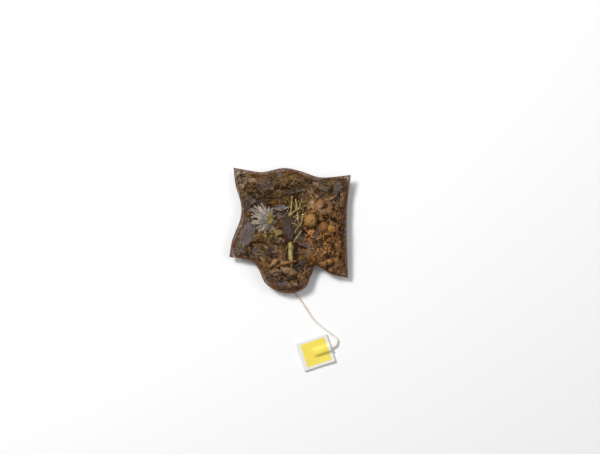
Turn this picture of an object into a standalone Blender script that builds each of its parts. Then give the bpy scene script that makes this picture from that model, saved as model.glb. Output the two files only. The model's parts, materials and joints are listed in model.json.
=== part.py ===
"""Used tea bag: a sheer mesh pouch of wet herbs with its string and its folded card tag, lying flat
as it comes to rest.

Run it with blender --background --python part.py, or from Blender's text editor. Units are metres
and +Z is up. The origin is under the middle of the pouch, on the surface that it lies on. The tables
below give places and sizes in millimetres, and each function turns them into metres as it builds.

The herbs are laid one on another. A heap of heights over the pouch's plan says how high the pile is
so far. A limp leaf settles onto the heap, a stiff stalk or berry comes to rest on it, and each then
adds its own top to the heap, so that no two pieces cross and none hangs in the air.
"""

import math
import random

import bmesh
import bpy
import numpy as np
from mathutils import Matrix, Vector

MM = 0.001
CLEARANCE = 0.32 * MM  # between one solid and the next

# The pouch: two layers of mesh, welded to each other in a flat fin all round.
WALL = 0.25 * MM
FIN_WIDTH = 2.0 * MM
SEAM_HEIGHT = 3.9 * MM
PATCH_RADIUS = 12.5 * MM  # of the flat patch that the pouch lies on
BELLY_CURVE = 1.2  # how the underside leaves the floor: 1 is a quarter of a sine wave
AROUND = 64  # points round the pouch's outline
# The rings of points in each layer of the pouch, as shares of the way out to the seam.
LAYER_RINGS = (0.0, 0.09, 0.18, 0.27, 0.36, 0.45, 0.53, 0.61, 0.69, 0.76, 0.82, 0.88, 0.94)
WET_WEIGHT = 300.0  # how hard the wet net is drawn down between the herbs, as a curve in 1/m
DRAPE_STEPS = 1200
SOFTENED = 3  # how far a sharp edge under the net is rounded off, in steps of the heap's grid
RIM_PINCH = 0.965  # share of the way to the seam beyond which nothing lies between the two layers
FILLED = 0.68  # share of the way out that the herbs fill
PRESSED = 0.16  # share beyond it, into which a piece at the edge is pressed

# The outline's points, clockwise from the upper left corner: x and y in millimetres, and whether it is a corner.
OUTLINE = (
    (-24.6, 26.8, True),
    (-18.0, 25.6, False),
    (-12.0, 24.9, False),
    (-3.0, 26.6, False),
    (4.4, 25.2, False),
    (13.0, 22.6, False),
    (25.6, 23.6, True),
    (24.3, 13.0, False),
    (23.8, -1.0, False),
    (24.4, -20.4, True),
    (16.8, -18.6, False),
    (11.2, -15.4, False),
    (8.6, -19.5, False),
    (6.2, -24.4, False),
    (1.0, -26.9, False),
    (-5.2, -26.2, False),
    (-10.8, -22.8, False),
    (-13.8, -16.8, False),
    (-17.0, -13.2, False),
    (-26.4, -11.4, True),
    (-25.0, -4.0, False),
    (-21.6, 5.0, False),
    (-21.4, 11.5, False),
    (-23.6, 19.0, False),
)

# The string, its route in millimetres from its end inside the pouch to its end inside the tag.
STRING_RADIUS = 0.45 * MM
STRING_POINTS = 62
ROUTE = (
    (21.0, 4.6, 4.20),
    (19.0, 7.0, 2.45),
    (16.8, 9.7, 0.85),
    (13.2, 13.6, 0.50),
    (6.4, 17.8, 0.47),
    (-3.4, 19.2, 0.47),
    (-12.4, 17.6, 0.47),
    (-17.4, 11.6, 0.47),
    (-18.0, 3.4, 0.47),
    (-17.6, -3.6, 0.47),
    (-13.6, -9.4, 0.47),
    (-9.8, -14.8, 0.47),
    (-5.4, -20.2, 0.47),
    (0.6, -25.0, 0.47),
    (5.4, -31.0, 0.47),
    (9.8, -37.6, 0.47),
    (13.8, -41.2, 0.47),
    (17.58, -44.13, 0.50),
    (19.22, -45.28, 0.58),
    (20.12, -46.39, 0.68),
    (20.30, -47.77, 0.80),
    (19.72, -49.08, 0.95),
    (18.55, -49.88, 1.06),
    (15.60, -50.87, 1.07),
    (12.86, -51.78, 1.07),
)

# The tag: one strip of card, folded in half over the end of the string.
CARD = 0.30 * MM
TAG_WIDTH = 12.5 * MM
TAG_LENGTH = 13.5 * MM
TAG_GAP = 0.30 * MM  # between the two leaves, away from the string
TAG_MARGIN = 1.1 * MM  # the white border round the printed field
TAG_TOP = (17.6, -50.2)  # the middle of the edge where the string goes in
TAG_TURN = math.radians(108.4)  # from lying away from the reader

COLOURS = {
    "mesh": (0.62, 0.52, 0.36),
    "string": (0.84, 0.79, 0.68),
    "card": (0.88, 0.87, 0.83),
    "print": (0.97, 0.75, 0.06),
    "fines": (0.070, 0.038, 0.018),
    "leaf_dark": (0.062, 0.040, 0.024),
    "leaf_slate": (0.100, 0.092, 0.098),
    "leaf_olive": (0.125, 0.098, 0.040),
    "leaf_tan": (0.270, 0.150, 0.060),
    "stalk_pale": (0.430, 0.350, 0.130),
    "stalk_brown": (0.330, 0.170, 0.080),
    "berry_tan": (0.380, 0.190, 0.070),
    "berry_orange": (0.560, 0.270, 0.050),
    "hip": (0.340, 0.165, 0.070),
    "petal": (0.560, 0.520, 0.420),
}

# Leaf pieces, from the bottom of the pile to its top: name, middle x and y, length, width, turn in degrees,
# how far its edges curl up, and colour.
LEAVES = (
    ("leaf_under_left", -15.0, 3.0, 14.0, 9.0, 70, 0.3, "leaf_dark"),
    ("leaf_under_right", 13.0, -3.0, 14.0, 9.0, 100, 0.3, "leaf_dark"),
    ("leaf_under_top", -5.0, 15.5, 15.0, 9.0, 5, 0.3, "leaf_dark"),
    ("leaf_under_lobe", -3.0, -16.0, 13.0, 9.0, 80, 0.3, "leaf_dark"),
    ("leaf_corner_a", -18.2, 20.0, 7.0, 5.0, 132, 0.2, "leaf_olive"),
    ("leaf_corner_b", 17.6, 16.2, 8.0, 5.0, 45, 0.2, "leaf_dark"),
    ("leaf_corner_c", 17.2, -12.4, 8.0, 5.0, 120, 0.2, "leaf_tan"),
    ("leaf_corner_d", -18.6, -7.2, 7.0, 4.6, 24, 0.2, "leaf_olive"),
    ("leaf_lobe_tip", -2.6, -22.6, 6.5, 3.8, 12, 0.2, "leaf_tan"),
    ("leaf_lobe_left", -7.6, -19.6, 7.5, 4.2, -48, 0.4, "leaf_tan"),
    ("leaf_lobe_right", 4.4, -19.4, 7.0, 4.2, 74, 0.3, "leaf_slate"),
    ("leaf_right_edge", 19.6, 5.8, 9.0, 3.8, 88, 0.3, "leaf_tan"),
    ("leaf_right_low", 19.4, -5.6, 7.0, 4.0, 100, 0.4, "leaf_tan"),
    ("leaf_top_right", 12.2, 17.6, 8.0, 4.6, -16, 0.4, "leaf_dark"),
    ("leaf_top_middle", 3.8, 20.4, 8.0, 5.0, -12, 0.5, "leaf_olive"),
    ("leaf_top_crest", -3.0, 21.6, 6.0, 4.4, 70, 0.6, "leaf_tan"),
    ("leaf_top_left", -13.4, 20.2, 8.0, 4.6, 16, 0.4, "leaf_dark"),
    ("leaf_rolled_top", -5.6, 15.6, 11.0, 4.2, 4, 0.9, "leaf_dark"),
    ("leaf_upper_left", -15.6, 12.6, 8.6, 4.6, 62, 0.3, "leaf_slate"),
    ("leaf_grey_left", -18.0, -1.8, 12.5, 7.6, 62, 0.5, "leaf_slate"),
    ("leaf_middle_low", 5.6, -4.6, 9.5, 5.6, -24, 0.4, "leaf_slate"),
    ("leaf_belly", 1.0, 3.4, 12.0, 7.0, -60, 0.2, "leaf_slate"),
    ("leaf_olive_middle", -9.6, -2.4, 10.5, 5.4, 14, 0.6, "leaf_olive"),
    ("leaf_band", -8.4, -9.2, 14.0, 4.4, -12, 0.5, "leaf_slate"),
    ("leaf_lobe_olive", -7.4, -14.2, 8.0, 4.8, -52, 0.5, "leaf_olive"),
    ("leaf_lobe_grey", -1.8, -17.2, 8.5, 4.6, 12, 0.4, "leaf_slate"),
    ("leaf_tan_right", 11.6, -10.2, 9.4, 6.2, 82, 0.6, "leaf_tan"),
    ("leaf_dark_right", 14.6, -4.8, 8.4, 4.6, -32, 0.5, "leaf_dark"),
    ("leaf_olive_right", 8.0, 12.2, 7.4, 3.8, 34, 0.6, "leaf_olive"),
    ("leaf_grey_upper", 13.6, 15.8, 8.4, 3.4, 78, 0.6, "leaf_slate"),
    ("leaf_curled_top", -8.6, 18.2, 8.6, 5.0, 10, 1.0, "leaf_slate"),
    ("leaf_blue_small", -4.2, 9.8, 6.8, 3.2, 2, 0.4, "leaf_slate"),
    ("leaf_slate_middle", -0.8, 0.6, 10.4, 4.6, -70, 0.7, "leaf_slate"),
    ("leaf_dark_oval", -16.6, 17.6, 6.0, 3.0, 6, 0.3, "leaf_dark"),
)

# Stalks and sticks: name, middle x and y, length, radius, turn in degrees, and colour.
STALKS = (
    ("stalk_flat", 0.3, -9.0, 8.0, 1.00, 92, "stalk_pale"),
    ("stalk_upright_a", 0.6, 10.0, 9.5, 0.42, 86, "stalk_pale"),
    ("stalk_upright_b", 3.0, 9.0, 9.0, 0.42, 98, "stalk_pale"),
    ("stalk_across", 2.0, 8.0, 6.5, 0.34, 36, "stalk_pale"),
    ("stalk_thin", 3.2, -2.6, 6.0, 0.34, 56, "stalk_pale"),
    ("stick_lobe", -11.4, -15.6, 6.5, 0.52, -72, "stalk_brown"),
    ("stick_lobe_across", -1.4, -14.0, 9.0, 0.42, 16, "stalk_brown"),
    ("stick_left", -19.0, -9.0, 5.4, 0.38, 44, "stalk_brown"),
    ("stick_right", 16.8, -9.6, 7.0, 0.38, 74, "stalk_brown"),
    ("stick_top", -14.4, 22.4, 5.6, 0.34, 118, "stalk_brown"),
)

# Berries: name, middle x and y, radius, and colour.
BERRIES = (
    ("berry_large", 8.8, 4.4, 2.80, "berry_tan"),
    ("berry_dark", 14.2, 1.6, 2.00, "hip"),
    ("berry_small_a", 17.6, 0.6, 1.65, "berry_orange"),
    ("berry_small_b", 17.4, -9.6, 1.30, "berry_orange"),
    ("berry_small_c", 16.8, -12.9, 1.10, "berry_orange"),
)

HIP_PLACE = (14.4, 9.4)
HIP_RADIUS = 3.4 * MM
HIP_SHELL = 0.7 * MM
HIP_DEPTH = 0.62  # of a whole hemisphere
FLOWER_PLACE = (-11.2, 5.6)
FLOWER_RADIUS = 4.9 * MM
PETALS = 14

FINES_REACH = 0.80  # share of the way out to the fin
FINES_DEPTH = 5.0 * MM
LEAF_THICKNESS = 0.38 * MM
STEEPEST = 0.9  # the steepest that a leaf lies, as rise over run


def clear_scene():
    """Removes what Blender starts with."""
    for obj in list(bpy.data.objects):
        bpy.data.objects.remove(obj)


def material(name):
    """The Principled material of that colour, made once."""
    found = bpy.data.materials.get(name)
    if found:
        return found
    made = bpy.data.materials.new(name)
    made.use_nodes = True
    shader = made.node_tree.nodes["Principled BSDF"]
    shader.inputs["Base Color"].default_value = (*COLOURS[name], 1)
    shader.inputs["Roughness"].default_value = 0.75 if name in ("card", "print", "string") else 0.35
    shader.inputs["Metallic"].default_value = 0.0
    return made


def add_mesh(name, points, faces, colour):
    """A named object of those points and faces, with its material."""
    mesh = bpy.data.meshes.new(name)
    mesh.from_pydata([tuple(float(c) for c in p) for p in points], [], [tuple(map(int, f)) for f in faces])
    mesh.materials.append(material(colour))
    mesh.update()
    obj = bpy.data.objects.new(name, mesh)
    bpy.context.scene.collection.objects.link(obj)
    return obj


def smooth(obj, angle=math.radians(40)):
    obj.data.shade_smooth()
    obj.data.set_sharp_from_angle(angle=angle)


def turned(points, angle, middle):
    """Plan points turned about the origin and moved to a middle given in metres."""
    c, s = math.cos(angle), math.sin(angle)
    return np.asarray(points) @ np.array([[c, s], [-s, c]]) + np.asarray(middle)


# The plan of the pouch.


def smooth_through(points, count, closed, sharp=()):
    """Points evenly along a smooth curve through the given ones. It turns sharply at those listed."""
    points = np.asarray(points, float)
    total = len(points)
    steps = 24
    line = []
    for i in range(total if closed else total - 1):
        p1, p2 = points[i], points[(i + 1) % total]
        p0 = points[i - 1] if closed or i > 0 else p1
        p3 = points[(i + 2) % total] if closed or i + 2 < total else p2
        leave = (p2 - p1) if i in sharp else (p2 - p0) / 2
        arrive = (p2 - p1) if (i + 1) % total in sharp else (p3 - p1) / 2
        for t in np.arange(steps) / steps:
            line.append(
                (2 * t**3 - 3 * t**2 + 1) * p1
                + (t**3 - 2 * t**2 + t) * leave
                + (3 * t**2 - 2 * t**3) * p2
                + (t**3 - t**2) * arrive
            )
    line.append(points[0] if closed else points[-1])
    line = np.array(line)
    along = np.concatenate([[0], np.cumsum(np.linalg.norm(np.diff(line, axis=0), axis=1))])
    places = np.linspace(0, along[-1], count + 1)[:-1] if closed else np.linspace(0, along[-1], count)
    return np.stack([np.interp(places, along, line[:, k]) for k in range(line.shape[1])], axis=1)


def pouch_outline():
    """The outline in metres, counter-clockwise, with its box centred on the origin."""
    corners = {i for i, (_, _, corner) in enumerate(OUTLINE) if corner}
    line = smooth_through([(x * MM, y * MM) for x, y, _ in OUTLINE], AROUND, True, corners)[::-1]
    return line - (line.min(0) + line.max(0)) / 2


def ring_plan(outline, shares):
    """Plan points and triangles of rings round the origin: its own point, then one ring for each share."""
    count = len(outline)
    points = [np.zeros((1, 2))] + [outline * s if np.isscalar(s) else outline * s[:, None] for s in shares[1:]]
    triangles = [(0, 1 + j, 1 + (j + 1) % count) for j in range(count)]
    for ring in range(len(shares) - 2):
        inner, outer = 1 + ring * count, 1 + (ring + 1) * count
        for j in range(count):
            k = (j + 1) % count
            triangles.append((inner + j, outer + j, outer + k))
            triangles.append((inner + j, outer + k, inner + k))
    return np.concatenate(points), triangles


def fin_share(outline):
    """How far out the fin's inner edge is at each point of the outline, as a share."""
    return 1 - FIN_WIDTH / np.linalg.norm(outline, axis=1)


def reach_of_pouch(points, outline):
    """How far the pouch reaches, up to its fin, in the direction of each plan point."""
    angles = np.arctan2(outline[:, 1], outline[:, 0])
    order = np.argsort(angles)
    reach = np.linalg.norm(outline * fin_share(outline)[:, None], axis=1)
    here = np.arctan2(points[:, 1], points[:, 0])
    return np.interp(here, angles[order], reach[order], period=2 * math.pi)


def kept_in(points, outline):
    """Plan points of a piece, with any that would cross the fin pressed back into the pouch."""
    share = np.linalg.norm(points, axis=1) / reach_of_pouch(points, outline)
    pressed = FILLED + PRESSED * (1 - np.exp(-np.maximum(share - FILLED, 0) / PRESSED))
    return points * (np.where(share > FILLED, pressed, share) / share)[:, None]


def underside(points, outline):
    """The height of the pouch's underside over plan points: flat in the middle, rising to the seam."""
    edge = reach_of_pouch(points, outline)
    away = (np.linalg.norm(points, axis=1) - PATCH_RADIUS) / (edge - PATCH_RADIUS)
    return SEAM_HEIGHT * np.sin(np.clip(away, 0, 1) * math.pi / 2) ** BELLY_CURVE


# The heap.


def shifted(heights):
    """A grid of heights and its eight copies, each moved by one point."""
    padded = np.pad(heights, 1, mode="edge")
    rows, columns = heights.shape
    return [padded[i : i + rows, j : j + columns] for i in range(3) for j in range(3)]


def edges_of(triangles):
    pairs = np.concatenate([np.array(triangles)[:, p] for p in ((0, 1), (1, 2), (2, 0))])
    return np.unique(np.sort(pairs), axis=0)


def relaxed(heights, edges):
    """A sheet's heights with each one drawn some way towards the mean of its neighbours."""
    mean = np.zeros(len(heights))
    np.add.at(mean, edges[:, 0], heights[edges[:, 1]])
    np.add.at(mean, edges[:, 1], heights[edges[:, 0]])
    return 0.65 * heights + 0.35 * mean / np.bincount(edges.ravel(), minlength=len(heights))


class Heap:
    """How high the pile is, on a square grid over the pouch's plan."""

    HALF = 30 * MM
    STEP = 0.25 * MM
    PUSHES = 6  # in each round of settling
    LAST_ROUNDS = 12  # rounds in which a sheet is only pushed up, so that it crosses nothing in the end

    def __init__(self):
        self.count = int(round(2 * self.HALF / self.STEP)) + 1
        self.axis = np.linspace(-self.HALF, self.HALF, self.count)
        self.top = np.zeros((self.count, self.count))

    def clear(self):
        """The heights with each one spread to its neighbours, so that a slope can't cut a corner."""
        return np.max(shifted(self.top), axis=0)

    def inside(self, a, b, c):
        """The grid's points in a triangle, and their shares of its corners."""
        low = np.ceil((np.minimum(np.minimum(a, b), c) + self.HALF) / self.STEP - 1e-6).astype(int)
        high = np.floor((np.maximum(np.maximum(a, b), c) + self.HALF) / self.STEP + 1e-6).astype(int)
        i, j = np.meshgrid(np.arange(low[0], high[0] + 1), np.arange(low[1], high[1] + 1), indexing="ij")
        i, j = i.ravel(), j.ravel()
        area = (b[0] - a[0]) * (c[1] - a[1]) - (c[0] - a[0]) * (b[1] - a[1])
        if abs(area) < 1e-14 or not len(i):
            return i[:0], j[:0], np.zeros((0, 3))
        x, y = self.axis[i], self.axis[j]
        at_b = ((x - a[0]) * (c[1] - a[1]) - (c[0] - a[0]) * (y - a[1])) / area
        at_c = ((b[0] - a[0]) * (y - a[1]) - (x - a[0]) * (b[1] - a[1])) / area
        shares = np.stack([1 - at_b - at_c, at_b, at_c], axis=1)
        held = (shares > -1e-9).all(axis=1)
        return i[held], j[held], shares[held]

    def samples(self, plan, triangles):
        """The grid's points under a sheet: their indices, the corners of the triangle above, and the shares."""
        found = [(*self.inside(*plan[list(t)]), t) for t in triangles]
        i = np.concatenate([f[0] for f in found])
        j = np.concatenate([f[1] for f in found])
        shares = np.concatenate([f[2] for f in found])
        corners = np.concatenate([np.tile(f[3], (len(f[0]), 1)) for f in found]).astype(int)
        return i, j, corners, shares

    def add(self, points, triangles):
        """Raises the heap to the tops of those triangles."""
        i, j, corners, shares = self.samples(points[:, :2], triangles)
        heights = (points[corners, 2] * shares).sum(axis=1)
        np.maximum.at(self.top, (i, j), heights)

    def lifted(self, heights, needed, corners, shares):
        """A sheet's heights once each of its triangles has been pushed up off what lies under it."""
        push = shares / (shares**2).sum(axis=1)[:, None]
        for _ in range(self.PUSHES):
            short = needed - (heights[corners] * shares).sum(axis=1)
            lift = np.zeros(len(heights))
            for corner in range(3):
                np.maximum.at(lift, corners[:, corner], np.maximum(short, 0) * push[:, corner])
            heights = heights + lift
        return heights

    def settle(self, plan, triangles, stiffness=0.5, rounds=40):
        """The heights of a limp leaf's points once it lies on the heap, clear of it everywhere."""
        i, j, corners, shares = self.samples(plan, triangles)
        clear = self.clear()
        needed = clear[i, j] + CLEARANCE
        edges = edges_of(triangles)
        flat = np.column_stack([self.axis[i], self.axis[j], np.ones(len(i))])
        plane = np.linalg.lstsq(flat, needed, rcond=None)[0]
        lying = np.column_stack([plan, np.ones(len(plan))]) @ plane
        nearest = np.clip(np.round((plan + self.HALF) / self.STEP).astype(int), 0, self.count - 1)
        local = clear[nearest[:, 0], nearest[:, 1]] + CLEARANCE
        heights = stiffness * lying + (1 - stiffness) * local - 1.0 * MM
        for step in range(rounds):
            heights = self.lifted(heights, needed, corners, shares)
            if step < rounds - self.LAST_ROUNDS:
                heights = relaxed(heights, edges)
        return self.eased(plan, edges, heights)

    def eased(self, plan, edges, heights):
        """The heights with low points lifted until no edge is steeper than a leaf can bend to."""
        length = np.linalg.norm(plan[edges[:, 0]] - plan[edges[:, 1]], axis=1)
        heights = heights.copy()
        for _ in range(30):
            for low, high in ((0, 1), (1, 0)):
                least = heights[edges[:, high]] - STEEPEST * length
                np.maximum.at(heights, edges[:, low], least)
        return heights

    def drape(self, plan, triangles, rim, outline, rounds=18):
        """The heights of the wet net over the heap: fixed at its rim, the last points of its plan, held up by
        the herbs and drawn down between them.
        """
        x, y = np.meshgrid(self.axis, self.axis, indexing="ij")
        grid = np.column_stack([x.ravel(), y.ravel()])
        share = np.linalg.norm(grid, axis=1) / reach_of_pouch(grid, outline)
        share = share.reshape(x.shape)
        # Close to the rim the two layers meet, with nothing between them.
        open_there = share < RIM_PINCH
        needed = np.where(open_there, self.clear() + CLEARANCE, 0)
        softened = needed
        for _ in range(SOFTENED):
            softened = np.max(shifted(softened), axis=0)
        for _ in range(SOFTENED):
            softened = np.mean(shifted(softened), axis=0)
        softened = np.where(open_there, softened, 0)
        net = np.maximum(softened, rim.mean())
        free = share[1:-1, 1:-1] < 1
        for _ in range(DRAPE_STEPS):
            around = net[:-2, 1:-1] + net[2:, 1:-1] + net[1:-1, :-2] + net[1:-1, 2:]
            drawn = np.maximum((around - WET_WEIGHT * self.STEP**2) / 4, softened[1:-1, 1:-1])
            net[1:-1, 1:-1][free] = drawn[free]
        nearest = np.round((plan + self.HALF) / self.STEP).astype(int)
        heights = net[nearest[:, 0], nearest[:, 1]]
        i, j, corners, shares = self.samples(plan, triangles)
        under = open_there[i, j]
        for step in range(rounds):
            if step < rounds - self.LAST_ROUNDS:
                heights = relaxed(heights, edges_of(triangles))
            heights[-len(rim) :] = rim
            heights = self.lifted(heights, needed[i, j][under], corners[under], shares[under])
        heights[-len(rim) :] = rim
        return heights

    def rest(self, points, triangles):
        """How far a stiff piece is lifted so that it rests on the heap."""
        i, j, corners, shares = self.samples(points[:, :2], triangles)
        heights = (points[corners, 2] * shares).sum(axis=1)
        under = np.full(self.top.shape, np.inf)
        np.minimum.at(under, (i, j), heights)
        held = np.isfinite(under)
        return float((self.clear()[held] - under[held]).max() + CLEARANCE)

    def line_up(self, start, end, half_width):
        """The heights of a stiff stick's two ends, where it rests on the heap on both sides of its middle."""
        shares = np.linspace(0, 1, 40)
        across = np.array([start[1] - end[1], end[0] - start[0]])
        across = across / np.linalg.norm(across) * half_width
        clear = self.clear()
        heights = np.full(len(shares), -np.inf)
        for side in (-1, -0.5, 0, 0.5, 1):
            line = start + shares[:, None] * (end - start) + side * across
            at = np.round((line + self.HALF) / self.STEP).astype(int)
            heights = np.maximum(heights, clear[at[:, 0], at[:, 1]])
        best = None
        for a in range(0, 20):
            for b in range(20, 40):
                slope = (heights[b] - heights[a]) / (shares[b] - shares[a])
                over = heights[a] + slope * (shares - shares[a])
                if (over >= heights - 1e-9).all() and (best is None or over[19] < best[0][19]):
                    best = (over, slope)
        line = best[0]
        return line[0], line[-1]


def close_sheet(lower, upper, triangles, rim):
    """Points and faces of the solid between two sheets of the same plan, whose rim runs counter-clockwise."""
    count = len(lower)
    faces = [tuple(reversed(t)) for t in triangles]
    faces += [tuple(count + p for p in t) for t in triangles]
    for a, b in zip(rim, rim[1:] + rim[:1]):
        faces.append((a, b, count + b, count + a))
    return np.concatenate([lower, upper]), faces


# The pieces.


def build_pouch_floor(heap, outline):
    """The plan of the pouch's lower layer, which starts the heap."""
    fin = fin_share(outline)
    plan, triangles = ring_plan(outline, [s * fin if s else s for s in LAYER_RINGS] + [fin])
    floor = np.column_stack([plan, underside(plan, outline) + WALL])
    heap.add(floor, triangles)
    return plan, triangles, floor


def build_pouch(heap, outline, plan, triangles, floor):
    """The pouch: the lower layer, the upper layer drawn over the herbs, and the fin that joins them."""
    count = len(outline)
    roof = floor.copy()
    roof[:, 2] = heap.drape(plan, triangles, floor[-count:, 2], outline)
    edge = np.column_stack([outline, np.full(count, SEAM_HEIGHT)])
    body = len(plan)
    drop, lift = np.array([0, 0, -WALL]), np.array([0, 0, WALL])
    points = np.concatenate([floor + drop, edge, roof + lift, edge + 2 * lift, floor, roof[:-count]])
    under, under_edge = 0, body
    over, over_edge = body + count, 2 * body + count
    inner_floor = 2 * (body + count)
    inner_roof = inner_floor + body
    faces = [tuple(under + p for p in reversed(t)) for t in triangles]
    faces += [tuple(over + p for p in t) for t in triangles]
    faces += [tuple(inner_floor + p for p in t) for t in triangles]
    for t in reversed(triangles):
        faces.append(tuple((inner_roof if p < body - count else inner_floor) + p for p in reversed(t)))
    for j in range(count):
        k = (j + 1) % count
        a, b = body - count + j, body - count + k
        faces.append((under + a, under + b, under_edge + k, under_edge + j))
        faces.append((over + b, over + a, over_edge + j, over_edge + k))
        faces.append((under_edge + j, under_edge + k, over_edge + k, over_edge + j))
    pouch = add_mesh("mesh_pouch", points, faces, "mesh")
    smooth(pouch)
    return pouch


def cut_string_hole(pouch, route):
    """The hole in the pouch's underside that the string comes out of, along the string's own line."""
    start, end = Vector(route[0]), Vector(route[2])
    along = end - start
    bpy.ops.mesh.primitive_cylinder_add(
        vertices=16,
        radius=STRING_RADIUS + 1.3 * CLEARANCE,
        depth=along.length * 1.3,
        location=(start + end) / 2 + along * 0.12,
        rotation=along.to_track_quat("Z", "Y").to_euler(),
    )
    cutter = bpy.context.object
    cutter.name = "string_hole_cutter"
    cutter.hide_render = True
    cutter.display_type = "WIRE"
    cut = pouch.modifiers.new("string_hole", "BOOLEAN")
    cut.operation = "DIFFERENCE"
    cut.object = cutter


def build_fines(heap, outline):
    """The settled bed of crumbled leaf that the larger pieces lie on, lumpy on top."""
    coarse = outline[:: AROUND // 32]
    shares = (0.0, 0.2, 0.4, 0.58, 0.74, 0.88, 1.0)
    reach = FINES_REACH * fin_share(coarse)
    plan, triangles = ring_plan(coarse, [s * reach if s else s for s in shares])
    lower = np.column_stack([plan, heap.settle(plan, triangles, stiffness=0.0, rounds=20)])
    away = np.concatenate([[0.0]] + [np.full(len(coarse), s) for s in shares[1:]])
    lumps = np.sin(plan[:, 0] / (1.9 * MM)) * np.cos(plan[:, 1] / (2.3 * MM))
    depth = FINES_DEPTH * (1 - 0.78 * away**1.5) + 0.35 * MM * lumps * (1 - away**4)
    upper = lower + np.column_stack([np.zeros((len(plan), 2)), depth])
    heap.add(upper, triangles)
    rim = list(range(len(plan) - len(coarse), len(plan)))
    points, faces = close_sheet(lower, upper, triangles, rim)
    smooth(add_mesh("leaf_fines", points, faces, "fines"))


def leaf_plan(length, width, seed):
    """A torn leaf piece lying flat: plan points in rows from end to end, triangles, rim, and how far out each
    point is, as a share of half the width."""
    chance = random.Random(seed)
    rows = max(4, min(8, round(length / (1.9 * MM)) + 1))
    columns = 5 if width > 4.4 * MM else 3
    first, last = chance.uniform(0.18, 0.6), chance.uniform(0.12, 0.4)
    bow = chance.uniform(-0.10, 0.10) * length
    points, across = [], []
    for r in range(rows):
        t = r / (rows - 1)
        end = first + (last - first) * t
        half = width / 2 * (end + (1 - end) * math.sin(math.pi * t) ** 0.8)
        for c in range(columns):
            v = 2 * c / (columns - 1) - 1
            torn = chance.uniform(0.86, 1.10) if abs(v) == 1 else 1
            slant = 0.10 * length * v * (1 - abs(2 * t - 1)) * chance.uniform(-0.4, 0.4)
            points.append(((t - 0.5) * length + slant, v * half * torn + bow * (1 - (2 * t - 1) ** 2)))
            across.append(v * half / (width / 2))
    triangles = []
    for r in range(rows - 1):
        for c in range(columns - 1):
            a, b = r * columns + c, (r + 1) * columns + c
            triangles += [(a, b, b + 1), (a, b + 1, a + 1)]
    rim = [r * columns for r in range(rows)]
    rim += [(rows - 1) * columns + c for c in range(1, columns)]
    rim += [r * columns + columns - 1 for r in range(rows - 2, -1, -1)]
    rim += [c for c in range(columns - 2, 0, -1)]
    return np.array(points), triangles, rim, np.array(across)


def build_leaf(heap, outline, number, name, x, y, length, width, turn, curl, colour):
    """One leaf piece, settled on the heap with its edges curled up."""
    plan, triangles, rim, across = leaf_plan(length * MM, width * MM, number)
    plan = kept_in(turned(plan, math.radians(turn), (x * MM, y * MM)), outline)
    heights = heap.settle(plan, triangles, stiffness=0.55)
    heights += curl * MM * across**2
    lower = np.column_stack([plan, heights])
    upper = lower.copy()
    upper[:, 2] += LEAF_THICKNESS * (1 - 0.35 * across**2)
    heap.add(upper, triangles)
    points, faces = close_sheet(lower, upper, triangles, rim)
    smooth(add_mesh(name, points, faces, colour))


def tube(start, end, radius, sides=8, rings=4, taper=0.8):
    """Points and triangles of a closed stick between two points, thinner towards its end."""
    along = Vector(end - start)
    turn = along.to_track_quat("Z", "Y").to_matrix()
    points = []
    for r in range(rings):
        t = r / (rings - 1)
        swell = radius * (1 + (taper - 1) * t)
        for s in range(sides):
            angle = 2 * math.pi * s / sides
            local = turn @ Vector((swell * math.cos(angle), swell * math.sin(angle), 0))
            points.append(start + np.array(along) * t + np.array(local))
    points += [start, end]
    triangles = []
    for r in range(rings - 1):
        for s in range(sides):
            k = (s + 1) % sides
            a, b, c, d = r * sides + s, r * sides + k, (r + 1) * sides + k, (r + 1) * sides + s
            triangles += [(a, b, c), (a, c, d)]
    for s in range(sides):
        k = (s + 1) % sides
        triangles.append((len(points) - 2, k, s))
        triangles.append((len(points) - 1, (rings - 1) * sides + s, (rings - 1) * sides + k))
    return np.array(points), triangles


def build_stalk(heap, outline, name, x, y, length, radius, turn, colour):
    """One stiff stalk, resting on the heap at both sides of its middle."""
    half = length / 2 * MM
    ends = kept_in(turned([(-half, 0), (half, 0)], math.radians(turn), (x * MM, y * MM)), outline)
    low, high = heap.line_up(ends[0], ends[1], radius * MM)
    start, end = np.array([*ends[0], low + radius * MM]), np.array([*ends[1], high + radius * MM])
    points, triangles = tube(start, end, radius * MM)
    points[:, 2] += heap.rest(points, triangles)
    heap.add(points, triangles)
    smooth(add_mesh(name, points, triangles, colour))


def build_berry(heap, name, x, y, radius, colour):
    """One berry: a ball that rests on the heap."""
    shape = bmesh.new()
    bmesh.ops.create_icosphere(shape, subdivisions=2, radius=radius * MM)
    points = np.array([v.co for v in shape.verts]) * (1, 1, 0.92) + (x * MM, y * MM, 0)
    triangles = [tuple(v.index for v in f.verts) for f in shape.faces]
    shape.free()
    points[:, 2] += heap.rest(points, triangles)
    heap.add(points, triangles)
    smooth(add_mesh(name, points, triangles, colour))


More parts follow.
